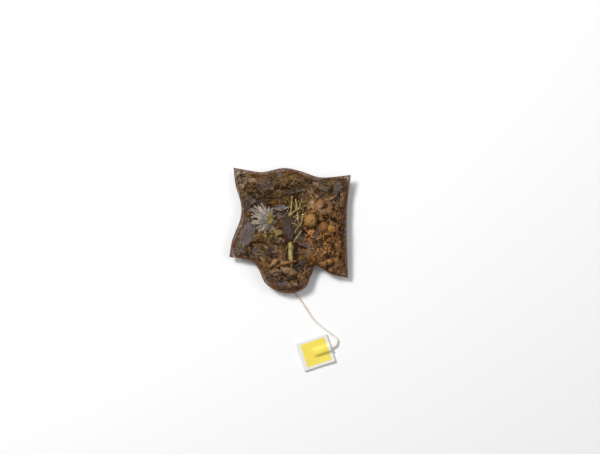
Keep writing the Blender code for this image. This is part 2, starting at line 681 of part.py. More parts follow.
def build_hip(heap):
    """The open half of a hip: a thin cup, lying with its mouth up and leaning."""
    sides = 14
    reach = HIP_DEPTH * math.pi / 2
    angles = [reach * k / 4 for k in range(1, 5)]
    outer = [(HIP_RADIUS * math.sin(a), HIP_RADIUS * (1 - math.cos(a))) for a in angles]
    inner_radius = HIP_RADIUS - HIP_SHELL
    inner = [(inner_radius * math.sin(a), HIP_RADIUS - inner_radius * math.cos(a)) for a in angles]
    points = [(0, 0, 0)]
    for r, z in outer + inner[::-1]:
        points += [
            (r * math.cos(2 * math.pi * s / sides), r * math.sin(2 * math.pi * s / sides), z) for s in range(sides)
        ]
    points.append((0, 0, HIP_SHELL))
    rings = len(outer) + len(inner)
    triangles = []
    for s in range(sides):
        k = (s + 1) % sides
        triangles.append((0, 1 + k, 1 + s))
        last = 1 + (rings - 1) * sides
        triangles.append((len(points) - 1, last + s, last + k))
        for r in range(rings - 1):
            a, b = 1 + r * sides, 1 + (r + 1) * sides
            triangles += [(a + s, a + k, b + k), (a + s, b + k, b + s)]
    lean = Matrix.Rotation(math.radians(-14), 3, "X") @ Matrix.Rotation(math.radians(10), 3, "Y")
    points = np.array([lean @ Vector(p) for p in points]) + (HIP_PLACE[0] * MM, HIP_PLACE[1] * MM, 0)
    points[:, 2] += heap.rest(points, triangles)
    heap.add(points, triangles)
    smooth(add_mesh("hip_shell", points, triangles, "hip"))


def build_flower(heap):
    """The flower head: a ring of petals round a raised middle, one piece, fallen open on the leaves."""
    around = PETALS * 4
    angles = 2 * math.pi * np.arange(around) / around
    lobe = np.array([1.0, 0.93, 0.50, 0.93])[np.arange(around) % 4]
    circle = np.column_stack([np.cos(angles), np.sin(angles)]) * FLOWER_RADIUS
    shares = [0.0, np.full(around, 0.32), 0.36 + 0.26 * lobe, lobe]
    plan, triangles = ring_plan(circle, shares)
    plan = plan + np.array(FLOWER_PLACE) * MM
    heights = heap.settle(plan, triangles, stiffness=0.7)
    lower = np.column_stack([plan, heights])
    upper = lower.copy()
    upper[:, 2] += 0.34 * MM
    upper[: 1 + around, 2] += 0.75 * MM
    heap.add(upper, triangles)
    rim = list(range(len(plan) - around, len(plan)))
    points, faces = close_sheet(lower, upper, triangles, rim)
    smooth(add_mesh("flower_head", points, faces, "petal"), math.radians(60))


def build_string(route):
    """The string as a round thread along its route."""
    curve = bpy.data.curves.new("string", "CURVE")
    curve.dimensions = "3D"
    curve.bevel_depth = STRING_RADIUS
    curve.bevel_resolution = 2
    curve.use_fill_caps = True
    spline = curve.splines.new("POLY")
    spline.points.add(len(route) - 1)
    for point, place in zip(spline.points, route):
        point.co = (*place, 1)
    curve.materials.append(material("string"))
    obj = bpy.data.objects.new("string", curve)
    bpy.context.scene.collection.objects.link(obj)


def build_tag():
    """The tag: a strip of card folded in half, whose upper leaf arches over the string's end."""
    columns = [share * TAG_WIDTH for share in (-0.5, -0.34, -0.20, -0.11, -0.05, 0, 0.05, 0.11, 0.20, 0.34, 0.5)]
    rows = [share * TAG_LENGTH for share in (0, 0.18, 0.34, 0.44, 0.52, 0.64, 0.82, 1)]
    fold_radius = (CARD + TAG_GAP) / 2
    arch_height = 2 * STRING_RADIUS + 2 * CLEARANCE - TAG_GAP
    arch_width = 0.14 * TAG_WIDTH

    def arch(u, v):
        side = max(0.0, 1 - max(0.0, abs(u) - 0.05 * TAG_WIDTH) / arch_width)
        fade = min(1.0, max(0.0, 1 - (v - 0.44 * TAG_LENGTH) / (0.2 * TAG_LENGTH)))
        return arch_height * (3 * side**2 - 2 * side**3) * (3 * fade**2 - 2 * fade**3)

    grid = [[(u, v, CARD / 2) for u in columns] for v in rows]
    for turn in (math.pi / 4, math.pi / 2, 3 * math.pi / 4):
        out, up = fold_radius * math.sin(turn), fold_radius * (1 - math.cos(turn))
        grid.append([(u, TAG_LENGTH + out, CARD / 2 + up) for u in columns])
    grid += [[(u, v, CARD / 2 + 2 * fold_radius + arch(u, v)) for u in columns] for v in reversed(rows)]
    wide = len(columns)
    points = [p for row in grid for p in row]
    faces = []
    for r in range(len(grid) - 1):
        for c in range(wide - 1):
            a, b = r * wide + c, (r + 1) * wide + c
            faces.append((a, b, b + 1, a + 1))
    tag = add_mesh("tag", points, faces, "card")
    tag.data.materials.append(material("print"))
    inner_width, inner_length = TAG_WIDTH / 2 - TAG_MARGIN, TAG_LENGTH - TAG_MARGIN
    for face in tag.data.polygons:
        u, v, z = face.center
        if abs(u) < inner_width and TAG_MARGIN < v < inner_length and z > fold_radius + CARD:
            face.material_index = 1
    tag.location = (TAG_TOP[0] * MM, TAG_TOP[1] * MM, 0)
    tag.rotation_euler = (0, 0, TAG_TURN)
    thick = tag.modifiers.new("card", "SOLIDIFY")
    thick.thickness = CARD
    thick.offset = 0
    return tag


def main():
    clear_scene()
    outline = pouch_outline()
    heap = Heap()
    route = smooth_through([(x * MM, y * MM, z * MM) for x, y, z in ROUTE], STRING_POINTS, False)
    plan, triangles, floor = build_pouch_floor(heap, outline)
    inner_end, shell = tube(route[0], route[2], STRING_RADIUS)
    heap.add(inner_end, shell)
    build_fines(heap, outline)
    for number, leaf in enumerate(LEAVES):
        build_leaf(heap, outline, number, *leaf)
    build_flower(heap)
    for stalk in STALKS:
        build_stalk(heap, outline, *stalk)
    build_hip(heap)
    for berry in BERRIES:
        build_berry(heap, *berry)
    pouch = build_pouch(heap, outline, plan, triangles, floor)
    cut_string_hole(pouch, route)
    build_string(route)
    build_tag()


main()
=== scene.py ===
# %% [markdown]
# # A used herbal tea bag
# A pillow of fine nylon net, about 51 by 54 mm, is packed with wet leaves, stalks, berries, a hip shell and
# one flower head. Its two layers are welded to each other in a flat fin all round. A thin cotton string comes
# out near the right seam, lies under the bag and ends inside a small folded card tag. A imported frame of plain
# solids comes first: it fixes every place and size, in metres. This lesson then dresses each solid with a
# finer piece of its own, so nothing here has to be measured again.

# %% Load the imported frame
import itertools
import json
import math

import bpy
import numpy as np
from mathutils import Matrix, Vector
from mathutils.bvhtree import BVHTree
from mathutils.geometry import convex_hull_2d

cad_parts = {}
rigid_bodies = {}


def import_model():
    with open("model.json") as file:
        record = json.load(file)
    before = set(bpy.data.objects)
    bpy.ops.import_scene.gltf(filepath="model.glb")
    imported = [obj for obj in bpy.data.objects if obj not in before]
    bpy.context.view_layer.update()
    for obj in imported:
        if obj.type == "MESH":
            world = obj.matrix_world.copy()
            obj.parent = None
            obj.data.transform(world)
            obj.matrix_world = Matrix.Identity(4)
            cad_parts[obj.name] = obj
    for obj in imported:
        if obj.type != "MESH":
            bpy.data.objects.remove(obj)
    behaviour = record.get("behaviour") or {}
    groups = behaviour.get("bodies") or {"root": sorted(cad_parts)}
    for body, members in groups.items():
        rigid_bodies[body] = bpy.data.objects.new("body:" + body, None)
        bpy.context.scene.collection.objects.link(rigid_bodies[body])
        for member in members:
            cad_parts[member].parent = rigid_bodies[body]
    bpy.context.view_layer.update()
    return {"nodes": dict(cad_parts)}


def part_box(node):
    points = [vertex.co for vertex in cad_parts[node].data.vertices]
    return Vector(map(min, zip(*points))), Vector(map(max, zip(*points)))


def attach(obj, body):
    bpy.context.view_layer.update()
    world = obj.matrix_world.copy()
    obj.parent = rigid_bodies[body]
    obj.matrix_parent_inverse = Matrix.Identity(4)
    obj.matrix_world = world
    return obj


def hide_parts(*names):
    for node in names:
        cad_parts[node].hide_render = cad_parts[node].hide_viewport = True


for leftover in list(bpy.data.objects):
    bpy.data.objects.remove(leftover)
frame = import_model()
nodes = frame["nodes"]
MM = 0.001

# %% [markdown]
# ## The camera
# The bag is seen from straight above, as it lies. A long lens keeps its outline from being stretched, and the
# camera stands so high that the whole width of the picture is 258 mm: the bag is a small thing in a wide
# field.

# %% Put up the camera
FIELD = 258 * MM
LENS, SENSOR = 85, 36  # both in millimetres
camera_data = bpy.data.cameras.new("camera")
camera_data.lens = LENS
camera_data.sensor_width = SENSOR
camera = bpy.data.objects.new("camera", camera_data)
camera.location = (4.3 * MM, 1.5 * MM, FIELD * LENS / SENSOR)
bpy.context.scene.collection.objects.link(camera)
bpy.context.scene.camera = camera
print("the camera is", round(camera.location.z * 1000), "mm up")

# %% [markdown]
# ## Light and floor
# Plain studio light: a pale sky all round for the shadows, and two soft panels. The strong one at the upper
# left gives the wet herbs their highlights, and the weak one at the right lifts the far side. Together they
# light a level surface so that a colour renders about as written. The floor is a plain pale sheet. It isn't
# part of the object.

# %% Light the scene
SKY = 0.298  # the strength of the white sky
scene = bpy.context.scene
scene.view_settings.view_transform = "Standard"
world = bpy.data.worlds.new("sky")
scene.world = world
world.use_nodes = True
world.node_tree.nodes["Background"].inputs["Color"].default_value = (1.0, 1.0, 1.0, 1)
world.node_tree.nodes["Background"].inputs["Strength"].default_value = SKY


def hang_panel(name, place, size, watts):
    """A square light panel that faces the middle of the bag."""
    light = bpy.data.lights.new(name, "AREA")
    light.size = size
    light.energy = watts
    panel = bpy.data.objects.new(name, light)
    panel.location = place
    panel.rotation_euler = (-Vector(place)).to_track_quat("-Z", "Y").to_euler()
    scene.collection.objects.link(panel)
    print(name, "hangs", round(Vector(place).length, 2), "m away")


hang_panel("key_panel", place=(-0.42, 0.40, 0.62), size=0.24, watts=6.55)
hang_panel("rim_panel", place=(0.50, 0.10, 0.50), size=0.35, watts=0.82)

# %% Lay the floor
floor_mesh = bpy.data.meshes.new("floor")
floor_mesh.from_pydata([(-3, -3, 0), (3, -3, 0), (3, 3, 0), (-3, 3, 0)], [], [(0, 1, 2, 3)])
floor = bpy.data.objects.new("floor", floor_mesh)
scene.collection.objects.link(floor)
paper = bpy.data.materials.new("floor_paper")
paper.use_nodes = True
paper.node_tree.nodes["Principled BSDF"].inputs["Base Color"].default_value = (0.97, 0.97, 0.97, 1)
paper.node_tree.nodes["Principled BSDF"].inputs["Roughness"].default_value = 0.9
floor_mesh.materials.append(paper)
print("the floor is", round(floor.dimensions.x), "m across")


# %% [markdown]
# ## Small helpers for finishes
# Every finish is a node tree. Short helpers keep the trees readable: one adds a node and fills its sockets
# with values or links, others do sums, blend two colours, draw noise and stretch a range. Two open a node
# group and place it, and two begin a material and give it a bump.

# %% Helpers for node trees
def fill(tree, node, inputs):
    """Fills a node's sockets with values or links."""
    for key, value in inputs.items():
        if isinstance(value, bpy.types.NodeSocket):
            tree.links.new(value, node.inputs[key])
        else:
            node.inputs[key].default_value = value


def put(tree, kind, inputs=None, **settings):
    """Adds a node, sets its options, and fills its sockets with values or links."""
    made = tree.nodes.new("ShaderNode" + kind)
    for key, value in settings.items():
        setattr(made, key, value)
    fill(tree, made, inputs or {})
    return made


def sum_of(tree, operation, a, b=0.5, clamp=False):
    """One sum on two values."""
    return put(tree, "Math", {0: a, 1: b}, operation=operation, use_clamp=clamp).outputs[0]


def plus(tree, a, b, clamp=False):
    """The sum of two values."""
    return sum_of(tree, "ADD", a, b, clamp)


def minus(tree, a, b, clamp=False):
    """The first value less the second."""
    return sum_of(tree, "SUBTRACT", a, b, clamp)


def times(tree, a, b):
    """The product of two values."""
    return sum_of(tree, "MULTIPLY", a, b)


def larger(tree, a, b, clamp=False):
    """The larger of two values."""
    return sum_of(tree, "MAXIMUM", a, b, clamp)


def tint(tree, factor, a, b):
    """One blend of two colours."""
    return put(tree, "Mix", {0: factor, 6: a, 7: b}, data_type="RGBA", blend_type="MIX").outputs[2]


def noise(tree, where, scale, detail, roughness=0.5):
    """Values from a cloud of noise."""
    sockets = {"Vector": where, "Scale": scale, "Detail": detail, "Roughness": roughness}
    return put(tree, "TexNoise", sockets).outputs[0]


def spread(tree, value, low, high, to_low=0.0, to_high=1.0):
    """A value's range stretched onto another, and held inside it."""
    return put(tree, "MapRange", {0: value, 1: low, 2: high, 3: to_low, 4: to_high}).outputs[0]


def open_group(name, inputs, outputs):
    """A new node group with named sockets."""
    group = bpy.data.node_groups.new(name, "ShaderNodeTree")
    for label, kind, value in inputs:
        socket = group.interface.new_socket(label, in_out="INPUT", socket_type="NodeSocket" + kind)
        if value is not None:
            socket.default_value = value
    for label, kind in outputs:
        group.interface.new_socket(label, in_out="OUTPUT", socket_type="NodeSocket" + kind)
    entry = group.nodes.new("NodeGroupInput")
    leave = group.nodes.new("NodeGroupOutput")
    return group, entry.outputs, leave.inputs


def place_group(tree, group, inputs):
    """A group placed in a tree, with its own values."""
    made = tree.nodes.new("ShaderNodeGroup")
    made.node_tree = group
    fill(tree, made, inputs)
    return made.outputs


def new_finish(name):
    """A new material, its node tree and its shader."""
    made = bpy.data.materials.new(name)
    made.use_nodes = True
    return made, made.node_tree, made.node_tree.nodes["Principled BSDF"]


def emboss(tree, shader, height, strength, distance):
    """Gives a shader a bump."""
    raised = put(tree, "Bump", {"Height": height, "Strength": strength, "Distance": distance}).outputs[0]
    tree.links.new(raised, shader.inputs["Normal"])


# %% [markdown]
# ## What soaking does to a surface
# Every herb in the bag shares one look: tea has soaked in unevenly, so a leaf is pale in some patches and
# nearly black in others, its fine fibres show, and a film of water lies on part of it. That is one node
# group, "soaked", which each herb's finish uses with its own two colours. It also takes a random number for
# each loose scrap, so that hundreds of scraps in one mesh don't share a single colour.

# %% The soaked group
soaked, entry, leave = open_group(
    "soaked",
    [
        ("Deep", "Color", (0.05, 0.03, 0.02, 1)),
        ("Pale", "Color", (0.2, 0.12, 0.06, 1)),
        ("Patches", "Float", 420.0),
        ("Fibres", "Float", 3200.0),
        ("Scraps", "Float", 0.5),
    ],
    [("Color", "Color"), ("Roughness", "Float"), ("Film", "Float"), ("Height", "Float")],
)
tree = soaked
where = put(tree, "TexCoord").outputs["Object"]
one_scrap = put(tree, "NewGeometry").outputs["Random Per Island"]
patches = noise(tree, where, entry["Patches"], 3.0, 0.6)
fibres = noise(tree, where, entry["Fibres"], 3.0, 0.65)
pools = noise(tree, where, 700.0, 1.0)
mottle = plus(tree, spread(tree, patches, 0.33, 0.67), times(tree, minus(tree, fibres, 0.5), 0.9))
swing = times(tree, minus(tree, one_scrap, 0.5), entry["Scraps"])
mixed = tint(tree, plus(tree, mottle, swing, clamp=True), entry["Deep"], entry["Pale"])
tree.links.new(mixed, leave["Color"])
wet = spread(tree, pools, 0.42, 0.58)
tree.links.new(wet, leave["Film"])
drier = plus(tree, wet, times(tree, fibres, -0.4))
tree.links.new(spread(tree, drier, -0.3, 0.9, 0.62, 0.26), leave["Roughness"])
tree.links.new(plus(tree, times(tree, patches, 0.5), times(tree, fibres, 0.5)), leave["Height"])
print("soaked has", len(tree.nodes), "nodes")

# %% [markdown]
# ## Veins
# A leaf has a rib down its middle and side veins that slant off it. They are drawn from the leaf's own
# coordinates, along and across, so they follow each leaf however it lies. The group gives a mask, for a paler
# colour, and a height, for the bump.

# %% The veins group
veins, entry, leave = open_group(
    "veins",
    [("Vector", "Vector", None), ("Count", "Float", 9.0), ("Slant", "Float", 5.0), ("Rib", "Float", 0.035)],
    [("Mask", "Float")],
)
tree = veins
bent = noise(tree, entry["Vector"], 5.0, 1.0)
parts = put(tree, "SeparateXYZ", {0: entry["Vector"]}).outputs
across = sum_of(tree, "ABSOLUTE", minus(tree, parts[1], 0.5))
rib = minus(tree, 1.0, sum_of(tree, "DIVIDE", across, entry["Rib"]), clamp=True)
slant = times(tree, across, times(tree, entry["Slant"], -1.0))
phase = plus(tree, times(tree, parts[0], entry["Count"]), slant)
phase = plus(tree, phase, times(tree, bent, 1.4))
wave = sum_of(tree, "ABSOLUTE", minus(tree, sum_of(tree, "FRACT", phase), 0.5))
side = spread(tree, wave, 0.10, 0.0, 0.0, 0.6)
tree.links.new(larger(tree, rib, side), leave["Mask"])
print("veins has", len(tree.nodes), "nodes")


# %% [markdown]
# ## Herb finishes
# One function makes every herb's finish from the two groups. The colours are those of herbs that have given
# up their dye: dark brown, grey slate, olive, tan. Some of them also carry painted light: painted shade in the
# bed of fines, the black leaves and the hip's hollow, a painted sheen on one slate leaf, and a painted
# highlight along the edges of leaves. The shader keeps its own constant values on its own sockets.

# %% Make the herb finishes
WATER = 1.33  # the refractive index of the film of water, which gives the highlights
UNDER_WATER = 1.12  # what is left of the herb's own shine where water lies on it


def herb_finish(name, deep, pale, vein_and_highlight=None, patches=420.0, fibres=3200.0, scraps=1.3, bump=0.35, film=0.5):
    """A soaked herb's finish. A leaf gets veins of a given colour, and a painted highlight of that colour along
    its edges.
    """
    made, tree, shader = new_finish(name)
    soak = place_group(tree, soaked, {
        "Deep": (*deep, 1), "Pale": (*pale, 1), "Patches": patches, "Fibres": fibres, "Scraps": scraps})
    colour, height = soak["Color"], soak["Height"]
    if vein_and_highlight:
        along = put(tree, "UVMap", uv_map="leaf").outputs[0]
        mask = place_group(tree, veins, {"Vector": along})["Mask"]
        across = put(tree, "SeparateXYZ", {0: along}).outputs[1]
        # A leaf is painted paler towards its two long edges: a painted highlight along its rim.
        edge_highlight = spread(tree, sum_of(tree, "ABSOLUTE", minus(tree, across, 0.5)), 0.38, 0.5, 0.0, 0.7)
        veins_and_edge_highlight = larger(tree, times(tree, mask, 0.6), edge_highlight)
        colour = tint(tree, veins_and_edge_highlight, colour, (*vein_and_highlight, 1))
        height = plus(tree, height, times(tree, mask, 0.55))
    emboss(tree, shader, height, bump, 0.25 * MM)
    tree.links.new(colour, shader.inputs["Base Color"])
    tree.links.new(soak["Roughness"], shader.inputs["Roughness"])
    tree.links.new(times(tree, soak["Film"], film), shader.inputs["Coat Weight"])
    shader.inputs["Coat Roughness"].default_value = 0.14
    shader.inputs["Coat IOR"].default_value = WATER
    shader.inputs["IOR"].default_value = UNDER_WATER
    return made


finish = {
    # The bed of fines is nearly black: partly the crumbs' own colour, and partly painted shade in the gaps.
    "fines": herb_finish("fines_bed_painted_shade", (0.007, 0.002, 0.001), (0.073, 0.027, 0.007), fibres=4200.0),
    "leaf_dark": herb_finish("dark_leaf", (0.012, 0.005, 0.001), (0.160, 0.073, 0.023),
                             (0.315, 0.181, 0.068)),
    # The black leaf is partly black tea leaf and partly painted shade: much of it is laid where the heap's
    # darkest shadows fall.
    "leaf_black": herb_finish("black_leaf_and_painted_shade", (0.002, 0.001, 0.001), (0.041, 0.018, 0.006),
                              (0.121, 0.067, 0.024)),
    "leaf_slate": herb_finish("slate_leaf", (0.034, 0.029, 0.028), (0.154, 0.133, 0.130),
                              (0.278, 0.218, 0.175)),
    "leaf_olive": herb_finish("olive_leaf", (0.034, 0.023, 0.005), (0.230, 0.163, 0.046),
                              (0.387, 0.302, 0.109)),
    "leaf_tan": herb_finish("tan_leaf", (0.073, 0.034, 0.013), (0.425, 0.250, 0.125), (0.532, 0.351, 0.175)),
    "stalk_pale": herb_finish("pale_stalk", (0.181, 0.133, 0.039), (0.581, 0.484, 0.194), fibres=2400.0),
    "stalk_brown": herb_finish("brown_stick", (0.073, 0.029, 0.010), (0.411, 0.194, 0.067), fibres=2400.0),
    "leaf_amber": herb_finish("amber_leaf", (0.085, 0.024, 0.004), (0.610, 0.270, 0.085),
                              (0.678, 0.351, 0.097)),
    "petal": herb_finish("petal", (0.200, 0.172, 0.134), (0.500, 0.455, 0.390), patches=900.0, scraps=1.0),
    "berry_tan": herb_finish("tan_berry", (0.145, 0.073, 0.024), (0.423, 0.224, 0.073), patches=190.0,
                             film=0.8),
    "berry_brown": herb_finish("brown_berry", (0.085, 0.034, 0.011), (0.278, 0.133, 0.046), film=0.9),
    "berry_orange": herb_finish("orange_berry", (0.194, 0.075, 0.012), (0.423, 0.206, 0.044), film=1.0),
    "hip": herb_finish("hip_shell", (0.103, 0.048, 0.022), (0.375, 0.206, 0.109), patches=300.0, film=0.7),
}
disc_finish = herb_finish("flower_disc", (0.181, 0.121, 0.027), (0.557, 0.436, 0.145), scraps=0.8)
print(len(finish) + 1, "herb finishes")


# %% [markdown]
# ## Helpers for shapes
# Three things come up again and again: a mesh from points and faces, a smooth wander of values over space,
# which makes torn edges and crinkles, and the height of something over a place in the plan. The rest are
# short: angles, places turned in the plan, a bump, and the triangles of discs, grids and tubes.

# %% Helpers for meshes
def add_piece(name, points, faces, material, stands_for=(), maps=None, crease=None):
    """A smooth-shaded piece that rides on the object and stands for the given solids."""
    mesh = bpy.data.meshes.new(name)
    mesh.from_pydata(np.asarray(points, float).tolist(), [], [list(map(int, f)) for f in faces])
    mesh.shade_smooth()
    if crease:
        mesh.set_sharp_from_angle(angle=math.radians(crease))
    corners = np.empty(len(mesh.loops), np.int32)
    mesh.loops.foreach_get("vertex_index", corners)
    for label, places in (maps or {}).items():
        layer = mesh.uv_layers.new(name=label)
        layer.uv.foreach_set("vector", np.asarray(places, np.float32)[corners].ravel())
    mesh.materials.append(material)
    piece = bpy.data.objects.new(name, mesh)
    scene.collection.objects.link(piece)
    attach(piece, "root")
    if stands_for:
        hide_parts(*stands_for)
    return piece


def wander(places, size, seed):
    """Smooth values from -1 to 1 over space, whose bumps are about one size across."""
    places = np.asarray(places, float) / size + seed * 17.31
    cell = np.floor(places).astype(np.int64)
    part = places - cell
    part = part * part * (3 - 2 * part)
    total = np.zeros(len(places))
    for corner in itertools.product((0, 1), repeat=places.shape[1]):
        here = cell + corner
        mixed = np.full(len(places), seed * 7919, np.int64)
        for k, prime in zip(range(places.shape[1]), (73856093, 19349663, 83492791)):
            mixed = mixed ^ (here[:, k] * prime)
        mixed = mixed & 0x7FFFFFFF
        mixed = ((mixed ^ (mixed >> 13)) * 1274126177) & 0x7FFFFFFF
        mixed = mixed ^ (mixed >> 16)
        value = mixed / 0x7FFFFFFF * 2 - 1
        total += value * np.prod(np.where(np.array(corner) == 1, part, 1 - part), axis=1)
    return total


def round_turn(count):
    """Angles evenly round a full turn, and the way that each one points."""
    turn = 2 * math.pi * np.arange(count) / count
    return turn, np.column_stack([np.cos(turn), np.sin(turn)])


def turned(x, y, turn):
    """Places in the plan, turned about its origin."""
    cos, sin = math.cos(turn), math.sin(turn)
    return np.column_stack([(x * cos - y * sin).ravel(), (x * sin + y * cos).ravel()])


def off_turn(turn, middle):
    """How far an angle is from another, the short way round."""
    return (turn - middle + math.pi) % (2 * math.pi) - math.pi


def bell(distance, width):
    """A smooth bump: 1 at no distance, and next to nothing at two widths."""
    return np.exp(-((distance / width) ** 2))


def disc_triangles(around, rings):
    """Triangles of a disc: its middle point, then rings of points."""
    j = np.arange(around)
    k = (j + 1) % around
    found = [np.column_stack([0 * j, 1 + j, 1 + k])]
    for ring in range(rings - 1):
        a = 1 + ring * around
        b = a + around
        found += [np.column_stack([a + j, b + j, b + k]), np.column_stack([a + j, b + k, a + k])]
    return np.concatenate(found)


def grid_triangles(rows, columns):
    """Triangles of a grid of points, row by row, and the loop of points round its edge."""
    r, c = (v.ravel() for v in np.meshgrid(np.arange(rows - 1), np.arange(columns - 1), indexing="ij"))
    a = r * columns + c
    b = a + columns
    near = [row * columns for row in range(rows)]
    far = [(rows - 1) * columns + column for column in range(1, columns)]
    back = [row * columns + columns - 1 for row in range(rows - 2, -1, -1)]
    home = [column for column in range(columns - 2, 0, -1)]
    both = np.concatenate([np.column_stack([a, b, b + 1]), np.column_stack([a, b + 1, a + 1])])
    return both, near + far + back + home


def closed_skin(triangles, rim, count):
    """Triangles of a surface of so many points, of its copy below, and of a strip round their edge."""
    edge = np.array(rim)
    after = np.roll(edge, -1)
    strip = [np.column_stack([edge + count, after + count, after]),
             np.column_stack([edge + count, after, edge])]
    return np.concatenate([triangles, triangles[:, ::-1] + count] + strip)


def thickened(points, triangles, rim, thickness):
    """A thin closed piece: the surface, and a copy of it below."""
    lower = points - np.array([0, 0, thickness])
    return np.concatenate([points, lower]), closed_skin(triangles, rim, len(points))


def sweep(line, radii):
    """A closed tube along a line. radii has a row for each point of it and a column for each way round it."""
    line = np.asarray(line, float)
    stations, around = radii.shape
    ahead = np.gradient(line, axis=0)
    ahead /= np.linalg.norm(ahead, axis=1)[:, None]
    side = np.cross(ahead[0], (0.3, 0.2, 1.0))
    angles = 2 * math.pi * np.arange(around) / around
    points = []
    for at, forward, reach in zip(line, ahead, radii):
        side = side - forward * np.dot(side, forward)
        side = side / np.linalg.norm(side)
        up = np.cross(forward, side)
        points.append(at + (np.cos(angles)[:, None] * side + np.sin(angles)[:, None] * up) * reach[:, None])
    points = np.concatenate(points + [line[:1], line[-1:]])
    s = np.arange(around)
    k = (s + 1) % around
    faces = []
    for r in range(stations - 1):
        a, b = r * around, (r + 1) * around
        faces += [np.column_stack([a + s, a + k, b + k]), np.column_stack([a + s, b + k, b + s])]
    last = (stations - 1) * around
    faces.append(np.column_stack([np.full(around, len(points) - 2), k, s]))
    faces.append(np.column_stack([np.full(around, len(points) - 1), last + s, last + k]))
    travelled = np.concatenate([[0], np.cumsum(np.linalg.norm(np.diff(line, axis=0), axis=1))])
    turn = np.tile(s / around, stations)
    places = np.column_stack([np.repeat(travelled, around), turn])
    places = np.concatenate([places, [[0, 0]], [[travelled[-1], 0]]])
    return points, np.concatenate(faces), places


def smooth_through(points, count, closed=False, sharp=()):
    """Points evenly along a smooth curve through the given ones. It turns sharply at those listed."""
    points = np.asarray(points, float)
    total = len(points)
    line = []
    for i in range(total if closed else total - 1):
        p1, p2 = points[i], points[(i + 1) % total]
        p0 = points[i - 1] if closed or i > 0 else p1
        p3 = points[(i + 2) % total] if closed or i + 2 < total else p2
        leaving = (p2 - p1) if i in sharp else (p2 - p0) / 2
        arriving = (p2 - p1) if (i + 1) % total in sharp else (p3 - p1) / 2
        for t in np.arange(24) / 24:
            line.append((2 * t**3 - 3 * t**2 + 1) * p1 + (t**3 - 2 * t**2 + t) * leaving
                        + (3 * t**2 - 2 * t**3) * p2 + (t**3 - t**2) * arriving)
    line = np.array(line + [points[0] if closed else points[-1]])
    along = np.concatenate([[0], np.cumsum(np.linalg.norm(np.diff(line, axis=0), axis=1))])
    places = np.linspace(0, along[-1], count + 1)[:-1] if closed else np.linspace(0, along[-1], count)
    return np.stack([np.interp(places, along, line[:, k]) for k in range(line.shape[1])], axis=1)


def tree_of(objects):
    """A search tree over the faces of several pieces, for casting rays at them."""
    points, faces, start = [], [], 0
    for piece in objects:
        mesh = piece.data
        mesh.calc_loop_triangles()
        own = np.empty(len(mesh.vertices) * 3, np.float32)
        mesh.vertices.foreach_get("co", own)
        corners = np.empty(len(mesh.loop_triangles) * 3, np.int32)
        mesh.loop_triangles.foreach_get("vertices", corners)
        points.append(own.reshape(-1, 3))
        faces.append(corners.reshape(-1, 3) + start)
        start += len(mesh.vertices)
    return BVHTree.FromPolygons(np.concatenate(points).tolist(), np.concatenate(faces).tolist(),
                                all_triangles=True)


def heights(tree, plan, from_above=True):
    """The height at which a vertical ray meets the pieces over each place in the plan, or nan."""
    start, way = (0.1, (0, 0, -1)) if from_above else (-0.1, (0, 0, 1))
    hits = [tree.ray_cast((float(x), float(y), start), way)[0] for x, y in plan]
    return np.array([math.nan if hit is None else hit.z for hit in hits])


# %% [markdown]
# ## The string
# Two thin cotton plies twisted round each other. A plain round curve would do from far off, but the twist is
# what makes it read as thread, so the tube's own section has two lobes that turn along its length. It leaves
# the bag through a hole near the right seam, lies under it on the floor, comes out below, and hooks into the
# tag. The route's points are those of the solid string.

# %% Twist the string
STRING_ROUTE = (
    (21.0, 4.6, 4.20), (19.0, 7.0, 2.45), (16.8, 9.7, 0.85), (13.2, 13.6, 0.50), (6.4, 17.8, 0.47),
    (-3.4, 19.2, 0.47), (-12.4, 17.6, 0.47), (-17.4, 11.6, 0.47), (-18.0, 3.4, 0.47), (-17.6, -3.6, 0.47),
    (-13.6, -9.4, 0.47), (-9.8, -14.8, 0.47), (-5.4, -20.2, 0.47), (0.6, -25.0, 0.47), (5.4, -31.0, 0.47),
    (9.8, -37.6, 0.47), (13.8, -41.2, 0.47), (17.58, -44.13, 0.50), (19.22, -45.28, 0.58),
    (20.12, -46.39, 0.68), (20.30, -47.77, 0.80), (19.72, -49.08, 0.95), (18.55, -49.88, 1.06),
    (15.60, -50.87, 1.07), (12.86, -51.78, 1.07),
)
STRING_RADIUS = 0.44 * MM
TWIST = 1.9 * MM  # the length in which the plies turn once

route = smooth_through(np.array(STRING_ROUTE) * MM, 760)
string_length = float(np.linalg.norm(np.diff(route, axis=0), axis=1).sum())
travelled = np.linspace(0, string_length, len(route))
way_round = 2 * math.pi * np.arange(16) / 16
lobes = np.abs(np.cos(way_round[None, :] - math.pi * travelled[:, None] / TWIST))
nubs = wander(np.column_stack([travelled, 0 * travelled]), 1.4 * MM, 3)[:, None]
radii = STRING_RADIUS * (0.66 + 0.30 * lobes + 0.04 * nubs)
radii[0] *= 0.6
radii[-1] *= 0.6
string_points, string_faces, string_map = sweep(route, radii)
print("the string is", round(string_length * 1000), "mm long, with", len(string_faces), "triangles")

# %% [markdown]
# ## Cotton, dyed by the tea
# The string is pale cotton where it lies dry beside the tag, and it has taken up tea near the bag. The fibres
# run along the twist, so their fine stripes use the string's own map: distance along it, and the way round.

